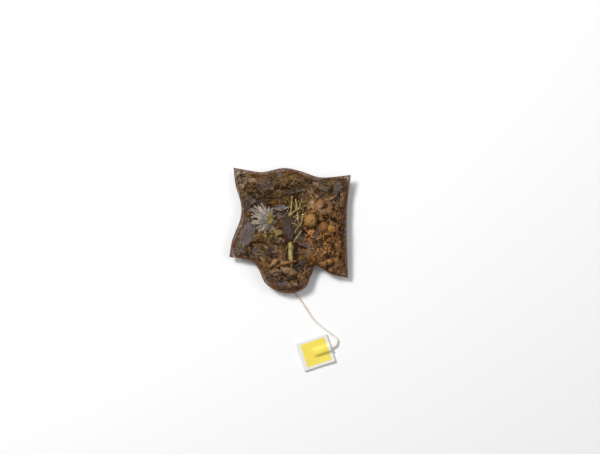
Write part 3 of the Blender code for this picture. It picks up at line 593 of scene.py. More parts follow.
# %% The cotton finish
cotton, tree, shader = new_finish("cotton")
along = put(tree, "UVMap", uv_map="thread").outputs[0]
stretched = put(tree, "Mapping", {0: along, 3: (1400.0, 9.0, 1.0)}).outputs[0]
slanted = noise(tree, stretched, 1.0, 3.0, 0.7)
where = put(tree, "TexCoord").outputs["Object"]
blotch = noise(tree, where, 260.0, 2.0)
place = put(tree, "SeparateXYZ", {0: where}).outputs[1]
near_bag = spread(tree, plus(tree, place, times(tree, blotch, 0.012)), -0.036, -0.012)
clean = tint(tree, spread(tree, slanted, 0.3, 0.7), (0.74, 0.69, 0.60, 1), (0.93, 0.90, 0.83, 1))
dyed = tint(tree, spread(tree, slanted, 0.3, 0.7), (0.42, 0.27, 0.15, 1), (0.74, 0.56, 0.37, 1))
tree.links.new(tint(tree, near_bag, clean, dyed), shader.inputs["Base Color"])
shader.inputs["Roughness"].default_value = 0.85
emboss(tree, shader, slanted, 0.6, 0.12 * MM)
string = add_piece("twisted_string", string_points, string_faces, cotton, ("string",),
                   {"thread": string_map})
print("cotton has", len(tree.nodes), "nodes")

# %% [markdown]
# ## The tag
# A strip of thin card, folded in half over the end of the string. It is modelled as one strip: a lower leaf,
# the fold, and an upper leaf that arches over the string and lifts a little at its free corners. A Solidify
# modifier gives it its thickness, and puts plain card on the inside and on the cut edges.

# %% Fold the card
CARD = 0.28 * MM
TAG_WIDTH, TAG_LENGTH = 12.5 * MM, 13.5 * MM
TAG_GAP = 0.32 * MM
TAG_COLUMNS, TAG_ROWS = 41, 45  # points across the card, and along each leaf of it
FOLD_START = 0.15 * MM  # the height at which the fold begins
TAG_PLACE, TAG_TURN = (17.6 * MM, -50.2 * MM), math.radians(108.4)
fold_radius = (0.30 * MM + TAG_GAP) / 2
u = np.linspace(-0.5, 0.5, TAG_COLUMNS) * TAG_WIDTH
v = np.linspace(0, 1, TAG_ROWS) * TAG_LENGTH


def eased(x):
    x = np.clip(x, 0, 1)
    return 3 * x**2 - 2 * x**3


over_string = eased(1 - np.maximum(np.abs(u) - 0.05 * TAG_WIDTH, 0) / (0.14 * TAG_WIDTH))
fade = eased(1 - (v - 0.44 * TAG_LENGTH) / (0.2 * TAG_LENGTH))
arch = 1.24 * MM * fade[:, None] * over_string[None, :]
free_end = eased(1 - v / (0.5 * TAG_LENGTH))[:, None]
lift = 0.30 * MM * free_end * (0.4 + 0.6 * np.abs(u / TAG_WIDTH * 2)[None, :] ** 2)
rows = [(np.full(TAG_COLUMNS, y), np.full(TAG_COLUMNS, CARD / 2 + 0.01 * MM)) for y in v]
for turn in np.linspace(0, math.pi, 9)[1:-1]:
    rows.append((np.full(TAG_COLUMNS, TAG_LENGTH + fold_radius * math.sin(turn)),
                 np.full(TAG_COLUMNS, FOLD_START + fold_radius * (1 - math.cos(turn)))))
for i in reversed(range(TAG_ROWS)):
    rows.append((np.full(TAG_COLUMNS, v[i]), FOLD_START + 2 * fold_radius + arch[i] + lift[i]))
flat = np.concatenate([np.column_stack([u, y, z]) for y, z in rows])
tag_points = np.column_stack([turned(flat[:, 0], flat[:, 1], TAG_TURN) + TAG_PLACE, flat[:, 2]])
tag_faces, _ = grid_triangles(len(rows), TAG_COLUMNS)
tag_map = np.column_stack([flat[:, 0] / TAG_WIDTH + 0.5, flat[:, 1] / TAG_LENGTH])
print("the folded card has", len(rows), "rows, up to", round(flat[:, 2].max() * 1000, 2), "mm high")

# %% [markdown]
# ## Card and print
# The card is white, with a plain yellow field on each face that stops about a millimetre short of the edges.
# The field's edge is worked out from the card's own map, so it stays parallel to the cut edge. Its colour is
# a little uneven, as thin ink on uncoated card is. No words or marks are on it.

# %% The card finishes
field, entry, leave = open_group(
    "printed_field",
    [("Vector", "Vector", None), ("Border", "Float", 0.09), ("Soft", "Float", 0.012)],
    [("Mask", "Float")],
)
parts = put(field, "SeparateXYZ", {0: entry["Vector"]}).outputs
edge_u = minus(field, 0.5, sum_of(field, "ABSOLUTE", minus(field, parts[0], 0.5)))
edge_v = minus(field, 0.5, sum_of(field, "ABSOLUTE", minus(field, parts[1], 0.5)))
inward = minus(field, sum_of(field, "MINIMUM", edge_u, edge_v), entry["Border"])
field.links.new(sum_of(field, "DIVIDE", inward, entry["Soft"], clamp=True), leave["Mask"])


def card_finish(name, printed):
    """Uncoated card, with or without the printed field."""
    made, tree, shader = new_finish(name)
    where = put(tree, "TexCoord").outputs["Object"]
    pulp = noise(tree, where, 5200.0, 3.0, 0.7)
    cloud = noise(tree, where, 190.0, 2.0)
    white = tint(tree, spread(tree, pulp, 0.3, 0.7), (0.78, 0.77, 0.72, 1), (0.86, 0.85, 0.80, 1))
    colour = white
    if printed:
        ink = tint(tree, spread(tree, cloud, 0.35, 0.65), (0.90, 0.70, 0.06, 1), (0.93, 0.76, 0.10, 1))
        ink = tint(tree, times(tree, pulp, 0.06), ink, white)
        mask = place_group(tree, field, {"Vector": put(tree, "UVMap", uv_map="card").outputs[0]})["Mask"]
        colour = tint(tree, mask, white, ink)
    tree.links.new(colour, shader.inputs["Base Color"])
    shader.inputs["Roughness"].default_value = 0.6
    emboss(tree, shader, pulp, 0.25, 0.05 * MM)
    return made


tag = add_piece("folded_tag", tag_points, tag_faces, card_finish("printed_card", True), ("tag",),
                {"card": tag_map}, crease=50)
tag.data.materials.append(card_finish("plain_card", False))
thickness = tag.modifiers.new("card thickness", "SOLIDIFY")
thickness.thickness = CARD
thickness.offset = 0
thickness.material_offset = 1
thickness.material_offset_rim = 1


# %% [markdown]
# ## The room inside the net
# The pouch's outline is one closed curve through two dozen points, sharp at its four corners. It is the solid
# pouch's own. A place in the plan is told by its share of the way out to the fin: 0 in the middle, 1 at the
# fin's inner edge. The room between the pouch's roof and its underside is measured once, on a fine grid over
# the plan. The solids stop well inside the fin. The real herbs are pressed further out, into the wedge where
# the two layers of net meet, so the last stretch of each piece is let out towards the fin, and kept between
# the two layers.

# %% Measure the room
STEP = 0.3 * MM
OUTLINE = (
    (-24.6, 26.8, True), (-18.0, 25.6, False), (-12.0, 24.9, False), (-3.0, 26.6, False), (4.4, 25.2, False),
    (13.0, 22.6, False), (25.6, 23.6, True), (24.3, 13.0, False), (23.8, -1.0, False), (24.4, -20.4, True),
    (16.8, -18.6, False), (11.2, -15.4, False), (8.6, -19.5, False), (6.2, -24.4, False), (1.0, -26.9, False),
    (-5.2, -26.2, False), (-10.8, -22.8, False), (-13.8, -16.8, False), (-17.0, -13.2, False),
    (-26.4, -11.4, True), (-25.0, -4.0, False), (-21.6, 5.0, False), (-21.4, 11.5, False),
    (-23.6, 19.0, False),
)
FIN_WIDTH = 1.0 * MM
SEAM_HEIGHT = 4.0 * MM
SPOKES = 360
outline = smooth_through([(x * MM, y * MM) for x, y, _ in OUTLINE], SPOKES, True,
                         {i for i, (_, _, corner) in enumerate(OUTLINE) if corner})[::-1]
outline = outline - (outline.min(0) + outline.max(0)) / 2
fin_share = 1 - FIN_WIDTH / np.linalg.norm(outline, axis=1)
spoke_angle = np.arctan2(outline[:, 1], outline[:, 0])
in_turn = np.argsort(spoke_angle)


def share_of(plan):
    """How far out towards the fin each place in the plan lies: 1 is at the fin's inner edge."""
    inner = (np.linalg.norm(outline, axis=1) * fin_share)[in_turn]
    here = np.arctan2(plan[:, 1], plan[:, 0])
    return np.linalg.norm(plan, axis=1) / np.interp(here, spoke_angle[in_turn], inner, period=2 * math.pi)


line_x = np.arange(-27, 27.01, 0.3) * MM
grid_x, grid_y = np.meshgrid(line_x, line_x, indexing="ij")
cells = np.column_stack([grid_x.ravel(), grid_y.ravel()])
shape = grid_x.shape
inside = (share_of(cells) < 1).reshape(shape)
pouch_tree = tree_of([nodes["mesh_pouch"]])
roof = np.where(inside, heights(pouch_tree, cells).reshape(shape), SEAM_HEIGHT)
cellar = np.where(inside, heights(pouch_tree, cells, False).reshape(shape), SEAM_HEIGHT)
roof, cellar = np.nan_to_num(roof, nan=SEAM_HEIGHT), np.nan_to_num(cellar, nan=SEAM_HEIGHT)
print("the room inside is", round(float((roof - cellar).max()) * 1000, 1), "mm high at most")


def at(grid, plan):
    """A grid's values at places in the plan, blended between its points."""
    place = (np.asarray(plan) - line_x[0]) / STEP
    place = np.clip(place, 0, len(line_x) - 1.001)
    i = place.astype(int)
    f = place - i
    row, column = i[:, 0], i[:, 1]
    down, over = f[:, 0], f[:, 1]
    return (grid[row, column] * (1 - down) * (1 - over)
            + grid[row + 1, column] * down * (1 - over)
            + grid[row, column + 1] * (1 - down) * over
            + grid[row + 1, column + 1] * down * over)


LET_OUT_FROM, LET_OUT_TO = 0.55, 0.985  # shares of the way out between which a piece is drawn out
HERB_GAP = 0.28 * MM  # what stays free between the herbs and each layer of net


def let_out(points, stop=0.80):
    """Points whose last stretch out to one share of the way is drawn out to the fin, kept inside the net."""
    share = share_of(points[:, :2])
    further = LET_OUT_FROM + (share - LET_OUT_FROM) * (LET_OUT_TO - LET_OUT_FROM) / (stop - LET_OUT_FROM)
    moved = points.copy()
    wanted = np.where(share > LET_OUT_FROM, np.minimum(further, 0.99), share)
    moved[:, :2] *= (wanted / np.maximum(share, 1e-9))[:, None]
    above, below = at(roof, moved[:, :2]), at(cellar, moved[:, :2])
    middle = (above + below) / 2
    room = np.maximum((above - below) / 2 - HERB_GAP, 0.05 * MM)
    held = middle + np.clip(moved[:, 2] - middle, -room, room)
    moved[:, 2] = np.where(share > LET_OUT_FROM, held, moved[:, 2])
    return moved


# %% [markdown]
# ## The bed of fines
# The smallest crumbs sift to the middle of the bag and make a lumpy bed that the larger pieces lie on. It is
# only seen through gaps, so it is one closed lump: the solid's own top and underside, measured with vertical
# rays along spokes from its middle, with crumbs raised on them. Its finish is nearly black: partly the crumbs'
# own dark brown, and partly painted shade that darkens the gaps between the larger pieces.

# %% Raise the crumbs
def points_of(name):
    """A solid's points, in the frame's metres."""
    mesh = nodes[name].data
    found = np.empty(len(mesh.vertices) * 3, np.float32)
    mesh.vertices.foreach_get("co", found)
    return np.unique(np.round(found.reshape(-1, 3).astype(float), 7), axis=0)


def reach_in_plan(plan, middle, ways):
    """How far the hull of some plan points reaches from their middle, each way."""
    hull = plan[convex_hull_2d([tuple(p) for p in plan])]
    step = np.roll(hull, -1, axis=0) - hull
    out = np.column_stack([step[:, 1], -step[:, 0]])
    out /= np.maximum(np.linalg.norm(out, axis=1), 1e-12)[:, None]
    away = np.einsum("ij,ij->i", out, hull - middle)
    out *= np.sign(away)[:, None]
    facing = ways @ out.T
    return np.where(facing > 1e-6, np.abs(away) / np.maximum(facing, 1e-6), 9.0).min(axis=1)


def top_and_underside(name, plan, middle):
    """The heights of a solid's top and underside over plan points, which are drawn in a little at a miss."""
    tree = tree_of([nodes[name]])
    found = []
    for from_above in (True, False):
        z = heights(tree, plan, from_above)
        for pull in (0.96, 0.9, 0.8, 0.65, 0.4):
            lost = np.isnan(z)
            if lost.any():
                z[lost] = heights(tree, middle + (plan[lost] - middle) * pull, from_above)
        z[np.isnan(z)] = np.nanmean(z)
        found.append(z)
    return found


AROUND, RINGS = 150, 34
_, ways = round_turn(AROUND)
bed = points_of("leaf_fines")
middle = bed[:, :2].mean(axis=0)
tree = tree_of([nodes["leaf_fines"]])
tries = np.arange(6, 24, 0.25) * MM


def last_hit(way):
    """How far out along a spoke a ray from above still meets the solid."""
    hits = (r for r in tries if tree.ray_cast((*(middle + way * r), 0.1), (0, 0, -1))[0])
    return max(hits, default=6 * MM)


reach = np.array([last_hit(way) for way in ways])
plan = np.concatenate([middle[None]] + [middle + ways * (reach * (r + 1) / RINGS)[:, None]
                                        for r in range(RINGS)])
top, under = top_and_underside("leaf_fines", plan, middle)
crumbs = 0.22 * MM * wander(plan, 0.9 * MM, 5) + 0.12 * MM * wander(plan, 0.45 * MM, 6)
inward = 1 - np.linalg.norm(plan - middle, axis=1) / np.linalg.norm(plan - middle, axis=1).max()
upper = np.column_stack([plan, top - 0.2 * MM + crumbs])
lower = np.column_stack([plan, np.minimum(under + 0.15 * MM - crumbs * 0.5, top - 0.5 * MM)])
faces = closed_skin(disc_triangles(AROUND, RINGS), range(len(plan) - AROUND, len(plan)), len(plan))
bed = let_out(np.concatenate([upper, lower]), stop=0.75)
edge_way = np.concatenate([[0], np.tile(wander(ways, 0.12, 8) + 0.6 * wander(ways, 0.05, 9), RINGS)])
bed[:, :2] *= 1 + 0.022 * np.tile(edge_way * (1 - inward), 2)[:, None]
add_piece("crumb_bed", bed, faces, finish["fines"], ("leaf_fines",))
print("the bed of crumbs has", len(faces), "triangles")

# %% [markdown]
# ## The leaves
# Each leaf piece is a disc of rings round its middle, so its edge can be torn smoothly at any fineness. Its
# reach each way comes from its solid, then a wandering edge and a few deeper tears are cut into it. Its
# height is that of the solid's top, and crinkles and a lifted edge are added. It is then given a thickness
# much less than the solid's. A leaf also carries a map, along and across it, for its veins.

# %% Tear and crinkle the leaves
LEAF_FINISH = {
    "leaf_dark": "under_left under_right under_top under_lobe corner_b top_right top_left rolled_top "
                 "dark_right dark_oval",
    "leaf_olive": "corner_a corner_d top_middle olive_middle lobe_olive olive_right",
    "leaf_tan": "corner_c lobe_tip lobe_left right_edge right_low top_crest tan_right",
    "leaf_slate": "lobe_right upper_left grey_left middle_low belly band lobe_grey grey_upper curled_top "
                  "blue_small slate_middle",
}
# The small blue leaf's finish is paler and greyer than the other slate: the leaf's own grey with a painted
# sheen of the sky on it.
slate_with_painted_sheen = herb_finish("slate_leaf_painted_sheen", (0.060, 0.056, 0.051), (0.200, 0.194, 0.181),
                          (0.290, 0.266, 0.242), film=1.0, bump=0.2)
slate_deep = herb_finish("deep_slate_leaf", (0.010, 0.008, 0.008), (0.053, 0.046, 0.042),
                         (0.133, 0.109, 0.091), film=0.8, bump=0.3)
finish["leaf_deep"] = slate_deep
OWN_FINISH = {"blue_small": slate_with_painted_sheen, "slate_middle": slate_deep, "belly": slate_deep}
BROADER = {"grey_left": 1.14, "upper_left": 1.12, "curled_top": 1.08}  # these lie open and reach further
LEAF_AROUND, LEAF_RINGS = 88, 12
LEAF_THICKNESS = 0.11 * MM


def make_leaf(name, slot, seed):
    """One torn, crinkled leaf in the place of its solid."""
    solid = points_of("leaf_" + name)
    middle = solid[:, :2].mean(axis=0)
    _, _, axes = np.linalg.svd(solid[:, :2] - middle, full_matrices=False)
    local = (solid[:, :2] - middle) @ axes.T
    middle = middle + ((local.max(0) + local.min(0)) / 2) @ axes
    half = (local.max(0) - local.min(0)) / 2
    turn, ring = round_turn(LEAF_AROUND)
    if np.linalg.det(axes) < 0:
        axes[1] *= -1
    ways = ring * half
    ways = (ways / np.linalg.norm(ways, axis=1)[:, None]) @ axes
    reach = reach_in_plan(solid[:, :2], middle, ways)
    torn = 0.93 + 0.07 * wander(ring, 0.34, seed) + 0.035 * wander(ring, 0.11, seed + 1)
    torn *= BROADER.get(name, 1.0)
    chance = np.random.default_rng(seed)
    for _ in range(3):
        where = chance.uniform(0, 2 * math.pi)
        depth = chance.uniform(0.08, 0.3)
        width = chance.uniform(0.06, 0.2)
        torn -= depth * bell(off_turn(turn, where), width)
    edge = ways * (reach * torn)[:, None]
    steps = ((np.arange(LEAF_RINGS) + 1) / LEAF_RINGS) ** 0.85
    plan = np.concatenate([middle[None]] + [middle + edge * step for step in steps])
    share = np.concatenate([[0], np.repeat(steps, LEAF_AROUND)])
    top = top_and_underside("leaf_" + name, middle + (plan - middle) * 0.97, middle)[0]
    own = (plan - middle) @ axes.T
    z = top - 0.10 * MM
    lifted = np.concatenate([[0], np.tile(np.clip(wander(ring, 0.6, seed + 2), 0, 1), LEAF_RINGS)])
    z += 0.36 * MM * lifted * share**4
    z += 0.10 * MM * wander(plan, 1.3 * MM, seed + 3) + 0.05 * MM * wander(plan, 0.5 * MM, seed + 4)
    z += 0.09 * MM * bell(own[:, 1], 0.4 * MM) * (1 - share)
    blade = let_out(np.column_stack([plan, z]))
    points, faces = thickened(blade, disc_triangles(LEAF_AROUND, LEAF_RINGS),
                              list(range(len(plan) - LEAF_AROUND, len(plan))), LEAF_THICKNESS)
    leaf_map = np.column_stack([own[:, 0] / (2 * half[0]) + 0.5, own[:, 1] / (2 * half[1]) + 0.5])
    own_finish = OWN_FINISH.get(name, finish[slot])
    return add_piece("torn_" + name, points, faces, own_finish, ("leaf_" + name,),
                     {"leaf": np.concatenate([leaf_map, leaf_map])})


herbs = [bpy.data.objects["crumb_bed"]]
seed = 20
for slot, names in LEAF_FINISH.items():
    for name in names.split():
        herbs.append(make_leaf(name, slot, seed))
        seed += 7
print(len(herbs) - 1, "leaves, with", sum(len(h.data.polygons) for h in herbs[1:]), "triangles")

# %% [markdown]
# ## Stalks and sticks
# A stalk is a tube along a line that bends a little. Fine ribs run along it, it has a swollen joint or two,
# and its ends are torn. The broad pale one is hollow: its middle has collapsed into a groove, so its section
# is squashed and dented. The solid gives each stalk's two ends and its radius.

# %% Make the stalks
STALK_FINISH = {
    "stalk_pale": "stalk_flat stalk_upright_a stalk_upright_b stalk_across stalk_thin",
    "stalk_brown": "stick_lobe stick_lobe_across stick_left stick_right stick_top",
}


def stalk_line(name):
    """A straight solid's two ends and its radius."""
    solid = points_of(name)
    middle = solid.mean(axis=0)
    _, _, axes = np.linalg.svd(solid - middle, full_matrices=False)
    along = (solid - middle) @ axes[0]
    off = np.linalg.norm(solid - middle - along[:, None] * axes[0], axis=1)
    ends = middle + np.array([along.min(), along.max()])[:, None] * axes[0]
    return (ends if ends[0][1] < ends[1][1] else ends[::-1]), float(off.max())


def make_stalk(points, radius, seed, hollow=False, stations=44, around=18):
    """A ribbed, slightly bent tube through a few points."""
    line = smooth_through(points, stations)
    t = np.linspace(0, 1, stations)
    length = np.linalg.norm(points[-1] - points[0])
    drift = np.column_stack([t * length, 0 * t])
    bend = np.sin(math.pi * t)
    line[:, 0] += 0.22 * MM * wander(drift, 2.2 * MM, seed) * bend
    line[:, 1] += 0.22 * MM * wander(drift, 2.2 * MM, seed + 1) * bend
    way, _ = round_turn(around)
    radii = np.full((stations, around), radius)
    radii *= 1 + 0.07 * np.cos(5 * way)[None, :] + 0.05 * wander(drift, 0.8 * MM, seed + 2)[:, None]
    for joint in (0.2, 0.74):
        radii *= 1 + 0.22 * bell(t - joint, 0.035)[:, None]
    if hollow:
        dent = bell(off_turn(way, math.pi / 2), 0.7)[None, :]
        radii *= 1 - 0.62 * dent * np.clip(bend * 2.2, 0, 1)[:, None]
    frayed = 1 - 0.35 * np.clip(1 - np.minimum(t, 1 - t) * 14, 0, 1)
    radii *= frayed[:, None]
    return sweep(line, radii)


for slot, names in STALK_FINISH.items():
    for number, name in enumerate(names.split()):
        ends, radius = stalk_line(name)
        hollow = name == "stalk_flat"
        points, faces, _ = make_stalk(ends, radius * (0.66 if "upright" in name else 0.9), 300 + 10 * number,
                                      hollow)
        if name in ("stalk_upright_a", "stalk_upright_b"):
            side = 1 if name.endswith("b") else -1
            fork = ends[0] + (ends[1] - ends[0]) * (0.42 if side > 0 else 0.55)
            tip = fork + np.array([side * 1.5, 3.0, 0.15]) * MM
            more, more_faces, _ = make_stalk(np.array([fork, tip]), radius * 0.62, 350 + number, stations=24)
            faces = np.concatenate([faces, more_faces + len(points)])
            points = np.concatenate([points, more])
        herbs.append(add_piece(name + "_bark", points, faces, finish[slot], (name,)))
        print(name, "is", round(float(np.linalg.norm(ends[1] - ends[0])) * 1000, 1), "mm long")

# %% [markdown]
# ## Berries
# A berry starts as a fine sphere in its solid's box. Drying and soaking leave it lumpy, with shallow wrinkles
# between the lumps, a small dimple at its top and the dry star of its calyx round the dimple. The wrinkles
# come from the wander of its own points, turned into soft creases. The last and smallest berry has no solid:
# it has its own place, between the two layers of net at the lower right.

# %% Make the berries
SLOT_OF = {  # a finish that the record's list has under another name
    "leaf_amber": "leaf_tan", "leaf_black": "leaf_dark", "leaf_deep": "leaf_slate"}
BERRIES = {  # each one's finish, its name in the record's list, how deep its wrinkles are and how lumpy it is
    "berry_large": ("berry_tan", "berry_tan", 0.045, 0.15),
    "berry_dark": ("berry_brown", "hip", 0.060, 0.18),
    "berry_small_a": ("berry_orange", "berry_orange", 0.020, 0.05),
    "berry_small_b": ("berry_brown", "berry_orange", 0.040, 0.12),
    "berry_small_c": ("berry_orange", "berry_orange", 0.030, 0.08),
    "crumb_berry": ("berry_orange", "berry_orange", 0.030, 0.10),
}
CRUMB_BERRY = np.array([[16.5, -17.6], [18.7, -15.4]]) * MM  # the smallest berry, between the layers of net


def fine_sphere(detail):
    """Points and triangles of an even sphere of radius 1."""
    bpy.ops.mesh.primitive_ico_sphere_add(subdivisions=detail, radius=1)
    made = bpy.context.object
    points = np.array([v.co for v in made.data.vertices])
    faces = np.array([p.vertices[:] for p in made.data.polygons])
    bpy.data.objects.remove(made)
    return points, faces


ball, ball_faces = fine_sphere(5)
floor_of_berries = np.nan_to_num(heights(tree_of(herbs), cells).reshape(shape), nan=SEAM_HEIGHT)
mound_points, mound_faces, nests = [], [], []
for number, (name, (look, slot, wrinkle, lump)) in enumerate(BERRIES.items()):
    if name == "crumb_berry":
        place = CRUMB_BERRY.mean(0)[None]
        middle = float((at(roof, place) + at(cellar, place))[0] / 2)
        low, high = (np.array([*c, middle + h]) for c, h in zip(CRUMB_BERRY, (-0.75 * MM, 0.95 * MM)))
    else:
        low, high = (np.array(c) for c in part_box(name))
        nests.append((*((low + high) / 2), (high - low)[0] / 2))
    lean = np.array([0.35, -0.25, 1.0]) / np.linalg.norm([0.35, -0.25, 1.0])
    upward = ball @ lean
    size = 1.02 + lump * 0.5 * wander(ball, 0.9, 60 + number)
    size -= wrinkle * (1 - np.abs(wander(ball, 0.42, 70 + number))) ** 4
    size -= wrinkle * 0.6 * (1 - np.abs(wander(ball, 0.2, 80 + number))) ** 4
    size -= 0.16 * bell(1 - upward, 0.035)
    spoke = np.arctan2(ball @ np.cross(lean, (1, 0, 0)), ball[:, 0])
    star = bell(1 - upward - 0.06, 0.03) * np.clip(np.cos(5 * spoke), 0, 1)
    size += 0.07 * star
    points = (low + high) / 2 + ball * size[:, None] * (high - low) / 2
    stands_for = () if name == "crumb_berry" else (name,)
    herbs.append(add_piece(name + "_skin", points, ball_faces, finish[look], stands_for))
print(len(BERRIES), "berries, with", len(ball_faces), "triangles each")

# %% [markdown]
# ## Nests of crumbs
# In the shaken bag each berry that has a solid has sunk a little into the loose crumbs, which stand up round
# it like a nest, and so has the hip. Each nest is a thin mound that hugs the lower side, then falls away
# until it meets the leaves.

# %% Heap up the nests
AROUND_NEST, NEST_RINGS = 56, 20
HUGGED = 0.92  # the share of its radius up to which a berry is hugged


def nest_height(distance, nest):
    """How high the crumbs stand at a distance from a berry's middle."""
    _, _, z, radius = nest
    close = np.minimum(distance / radius, HUGGED)
    hugging = z - radius * np.sqrt(1 - close**2) - 0.06 * MM
    return hugging - np.maximum(distance - HUGGED * radius, 0) * 0.75


hip_middle = (np.array(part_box("hip_shell")[0]) + np.array(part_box("hip_shell")[1])) / 2
nests.append((*(hip_middle + np.array([0.3, 0, 0.85]) * MM), 3.0 * MM))  # the torn hip has one too
nest_floor = floor_of_berries.copy()
for number, nest in enumerate(nests):
    _, ring = round_turn(AROUND_NEST)
    out = np.concatenate([[0], np.repeat((np.arange(NEST_RINGS) + 1) / NEST_RINGS, AROUND_NEST)])
    way = np.concatenate([[[0, 0]], np.tile(ring, (NEST_RINGS, 1))])
    distance = out * nest[3] * (2.3 + 0.35 * wander(way, 0.5, 200 + number))
    plan = way * distance[:, None] + nest[:2]
    z = nest_height(distance, nest) + np.where(distance > 0.85 * nest[3], 1, 0) * (
        0.16 * MM * wander(plan, 0.7 * MM, 210) + 0.10 * MM * wander(plan, 0.35 * MM, 211))
    z = np.maximum(z, at(floor_of_berries, plan) - 0.45 * MM)
    mound, faces = thickened(np.column_stack([plan, z]), disc_triangles(AROUND_NEST, NEST_RINGS),
                             list(range(len(plan) - AROUND_NEST, len(plan))), 0.35 * MM)
    mound_faces.append(faces + sum(len(m) for m in mound_points))
    mound_points.append(mound)
    away = np.linalg.norm(cells - nest[:2], axis=1).reshape(shape)
    nest_floor = np.where(away < 2.3 * nest[3], np.maximum(nest_floor, nest_height(away, nest)), nest_floor)
# The nests take the bed's nearly black finish, so they are partly painted shade round each berry.
herbs.append(add_piece("crumb_nests", np.concatenate(mound_points), np.concatenate(mound_faces),
                       finish["fines"]))
print(len(nests), "nests")

# %% [markdown]
# ## The hip shell
# A dried rose hip, torn open and squashed: a low rounded cup whose wall closes over it again, but for a torn
# mouth on its upper side, with a grey hollow in it. It is made as an outer and an inner bowl, both drawn on
# past their widest part, with the torn rim joining them. The inner bowl is painted dark grey: painted shade in
# the hollow. The mouth is shifted to one side, the skin is puckered towards it, and the whole is leaned as it
# lies. A few pale seeds are stuck inside.

# %% Make the hip shell
low, high = (np.array(c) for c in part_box("hip_shell"))
HIP_MIDDLE = (low + high) / 2 + np.array([0.3, 0, 0]) * MM
HIP_SIZE = np.array([3.2, 3.15, 1.28]) * MM
HIP_WALL = 0.36 * MM
MOUTH_SHIFT = np.array([0.0, 1.1]) * MM
around, rings = 96, 40
turn, ring = round_turn(around)
pear = 1 + 0.10 * np.cos(turn - math.radians(75)) + 0.07 * wander(ring, 0.9, 94)  # narrower at its lower end
end = 2.86 + 0.12 * wander(ring, 0.5, 90) + 0.05 * wander(ring, 0.16, 91)
end -= 0.55 * bell(off_turn(turn, math.radians(215)), 0.30)  # a tear
bowls = []
for size in (HIP_SIZE, HIP_SIZE - HIP_WALL):
    rows = [np.array([[0, 0, -size[2]]])]
    for r in range(rings):
        a = end * (r + 1) / rings
        closing = np.clip((a - 1.3) / 1.3, 0, 1)
        lumps = pear * (1 + 0.08 * wander(np.column_stack([ring * 1.5, a]), 0.6, 92))
        dents = wander(np.column_stack([ring * 1.5, a]), 0.45, 95)
        puckers = 1 + 0.05 * closing * np.cos(7 * turn + 3.0 * wander(ring, 0.5, 93))
        rows.append(np.column_stack([
            size[0] * np.sin(a) ** 0.85 * lumps * puckers * ring[:, 0] + MOUTH_SHIFT[0] * closing,
            size[1] * np.sin(a) ** 0.85 * lumps * puckers * ring[:, 1] + MOUTH_SHIFT[1] * closing,
            -size[2] * np.cos(a) * (1 + 0.10 * closing * dents)]))
    bowls.append(np.concatenate(rows))
skin = disc_triangles(around, rings)
count = len(bowls[0])
edge = np.arange(count - around, count)
after = np.roll(edge, -1)
faces = np.concatenate([skin[:, ::-1], skin + count, np.column_stack([edge, after, after + count]),
                        np.column_stack([edge, after + count, edge + count])])
shell = np.concatenate(bowls)
lean_x, lean_y = math.radians(-6), math.radians(11)
cos_x, sin_x, cos_y, sin_y = math.cos(lean_x), math.sin(lean_x), math.cos(lean_y), math.sin(lean_y)
turn_x = np.array([[1, 0, 0], [0, cos_x, -sin_x], [0, sin_x, cos_x]])
turn_y = np.array([[cos_y, 0, sin_y], [0, 1, 0], [-sin_y, 0, cos_y]])
shell = shell @ (turn_x @ turn_y).T
shell += HIP_MIDDLE - (shell.max(0) + shell.min(0)) / 2
hip = add_piece("torn_hip_shell", shell, faces, finish["hip"], ("hip_shell",))
# The inner bowl's dark grey finish is painted shade for the hollow.
hip.data.materials.append(herb_finish("hip_inside_painted_shade", (0.015, 0.011, 0.010), (0.103, 0.085, 0.075), film=1.0))
for face in hip.data.polygons:
    face.material_index = int(len(skin) <= face.index < 2 * len(skin))
herbs.append(hip)
seed_points, seed_faces, start = [], [], 0
small, small_faces = fine_sphere(3)
for number, (x, y, turn) in enumerate(((-0.2, 0.9, 30), (0.5, 0.5, 110), (0.1, 1.2, 70))):
    grain = small * np.array([0.62, 0.34, 0.30]) * MM * (1 + 0.25 * small[:, :1])
    grain = np.column_stack([turned(grain[:, 0], grain[:, 1], math.radians(turn)), grain[:, 2]])
    floor = HIP_MIDDLE[2] - HIP_SIZE[2] + HIP_WALL + 0.30 * MM
    seed_points.append(grain + np.array([HIP_MIDDLE[0] + x * MM, HIP_MIDDLE[1] + y * MM, floor]))
    seed_faces.append(small_faces + start)
    start += len(small)
herbs.append(add_piece("hip_seeds", np.concatenate(seed_points), np.concatenate(seed_faces),
                       finish["berry_tan"]))
print("the hip shell has", len(faces), "triangles and", len(seed_points), "seeds")

# %% [markdown]
# ## The lie of the heap
# Loose scraps, petals and the net all have to lie on what is already there. So the heap's height is measured
# on the same grid, once from above. Each thing that is laid down later raises the grid, and the next thing
# then lies on it.

# %% Measure the heap
herb_tree = tree_of(herbs)
ground = heights(herb_tree, cells).reshape(shape)
bare = np.isnan(ground)
ground = np.where(bare, cellar + 0.42 * (roof - cellar), ground)
print("the heap is", round(float(ground.max()) * 1000, 1), "mm high; the net's roof",
      round(float(roof.max()) * 1000, 1))


def softened(grid, rounds=2):
    """A grid with its sharp steps smoothed."""
    for _ in range(rounds):
        around_it = np.pad(grid, 1, mode="edge")
        grid = (around_it[1:-1, 1:-1] * 4 + around_it[:-2, 1:-1] + around_it[2:, 1:-1] + around_it[1:-1, :-2]
                + around_it[1:-1, 2:]) / 8
    return grid


def raise_grid(points):
    """Lifts the heap to the points laid on it."""
    place = np.round((points[:, :2] - line_x[0]) / STEP).astype(int)
    fits = ((place >= 0) & (place < len(line_x))).all(axis=1)
    np.maximum.at(ground, tuple(place[fits].T), points[fits, 2])


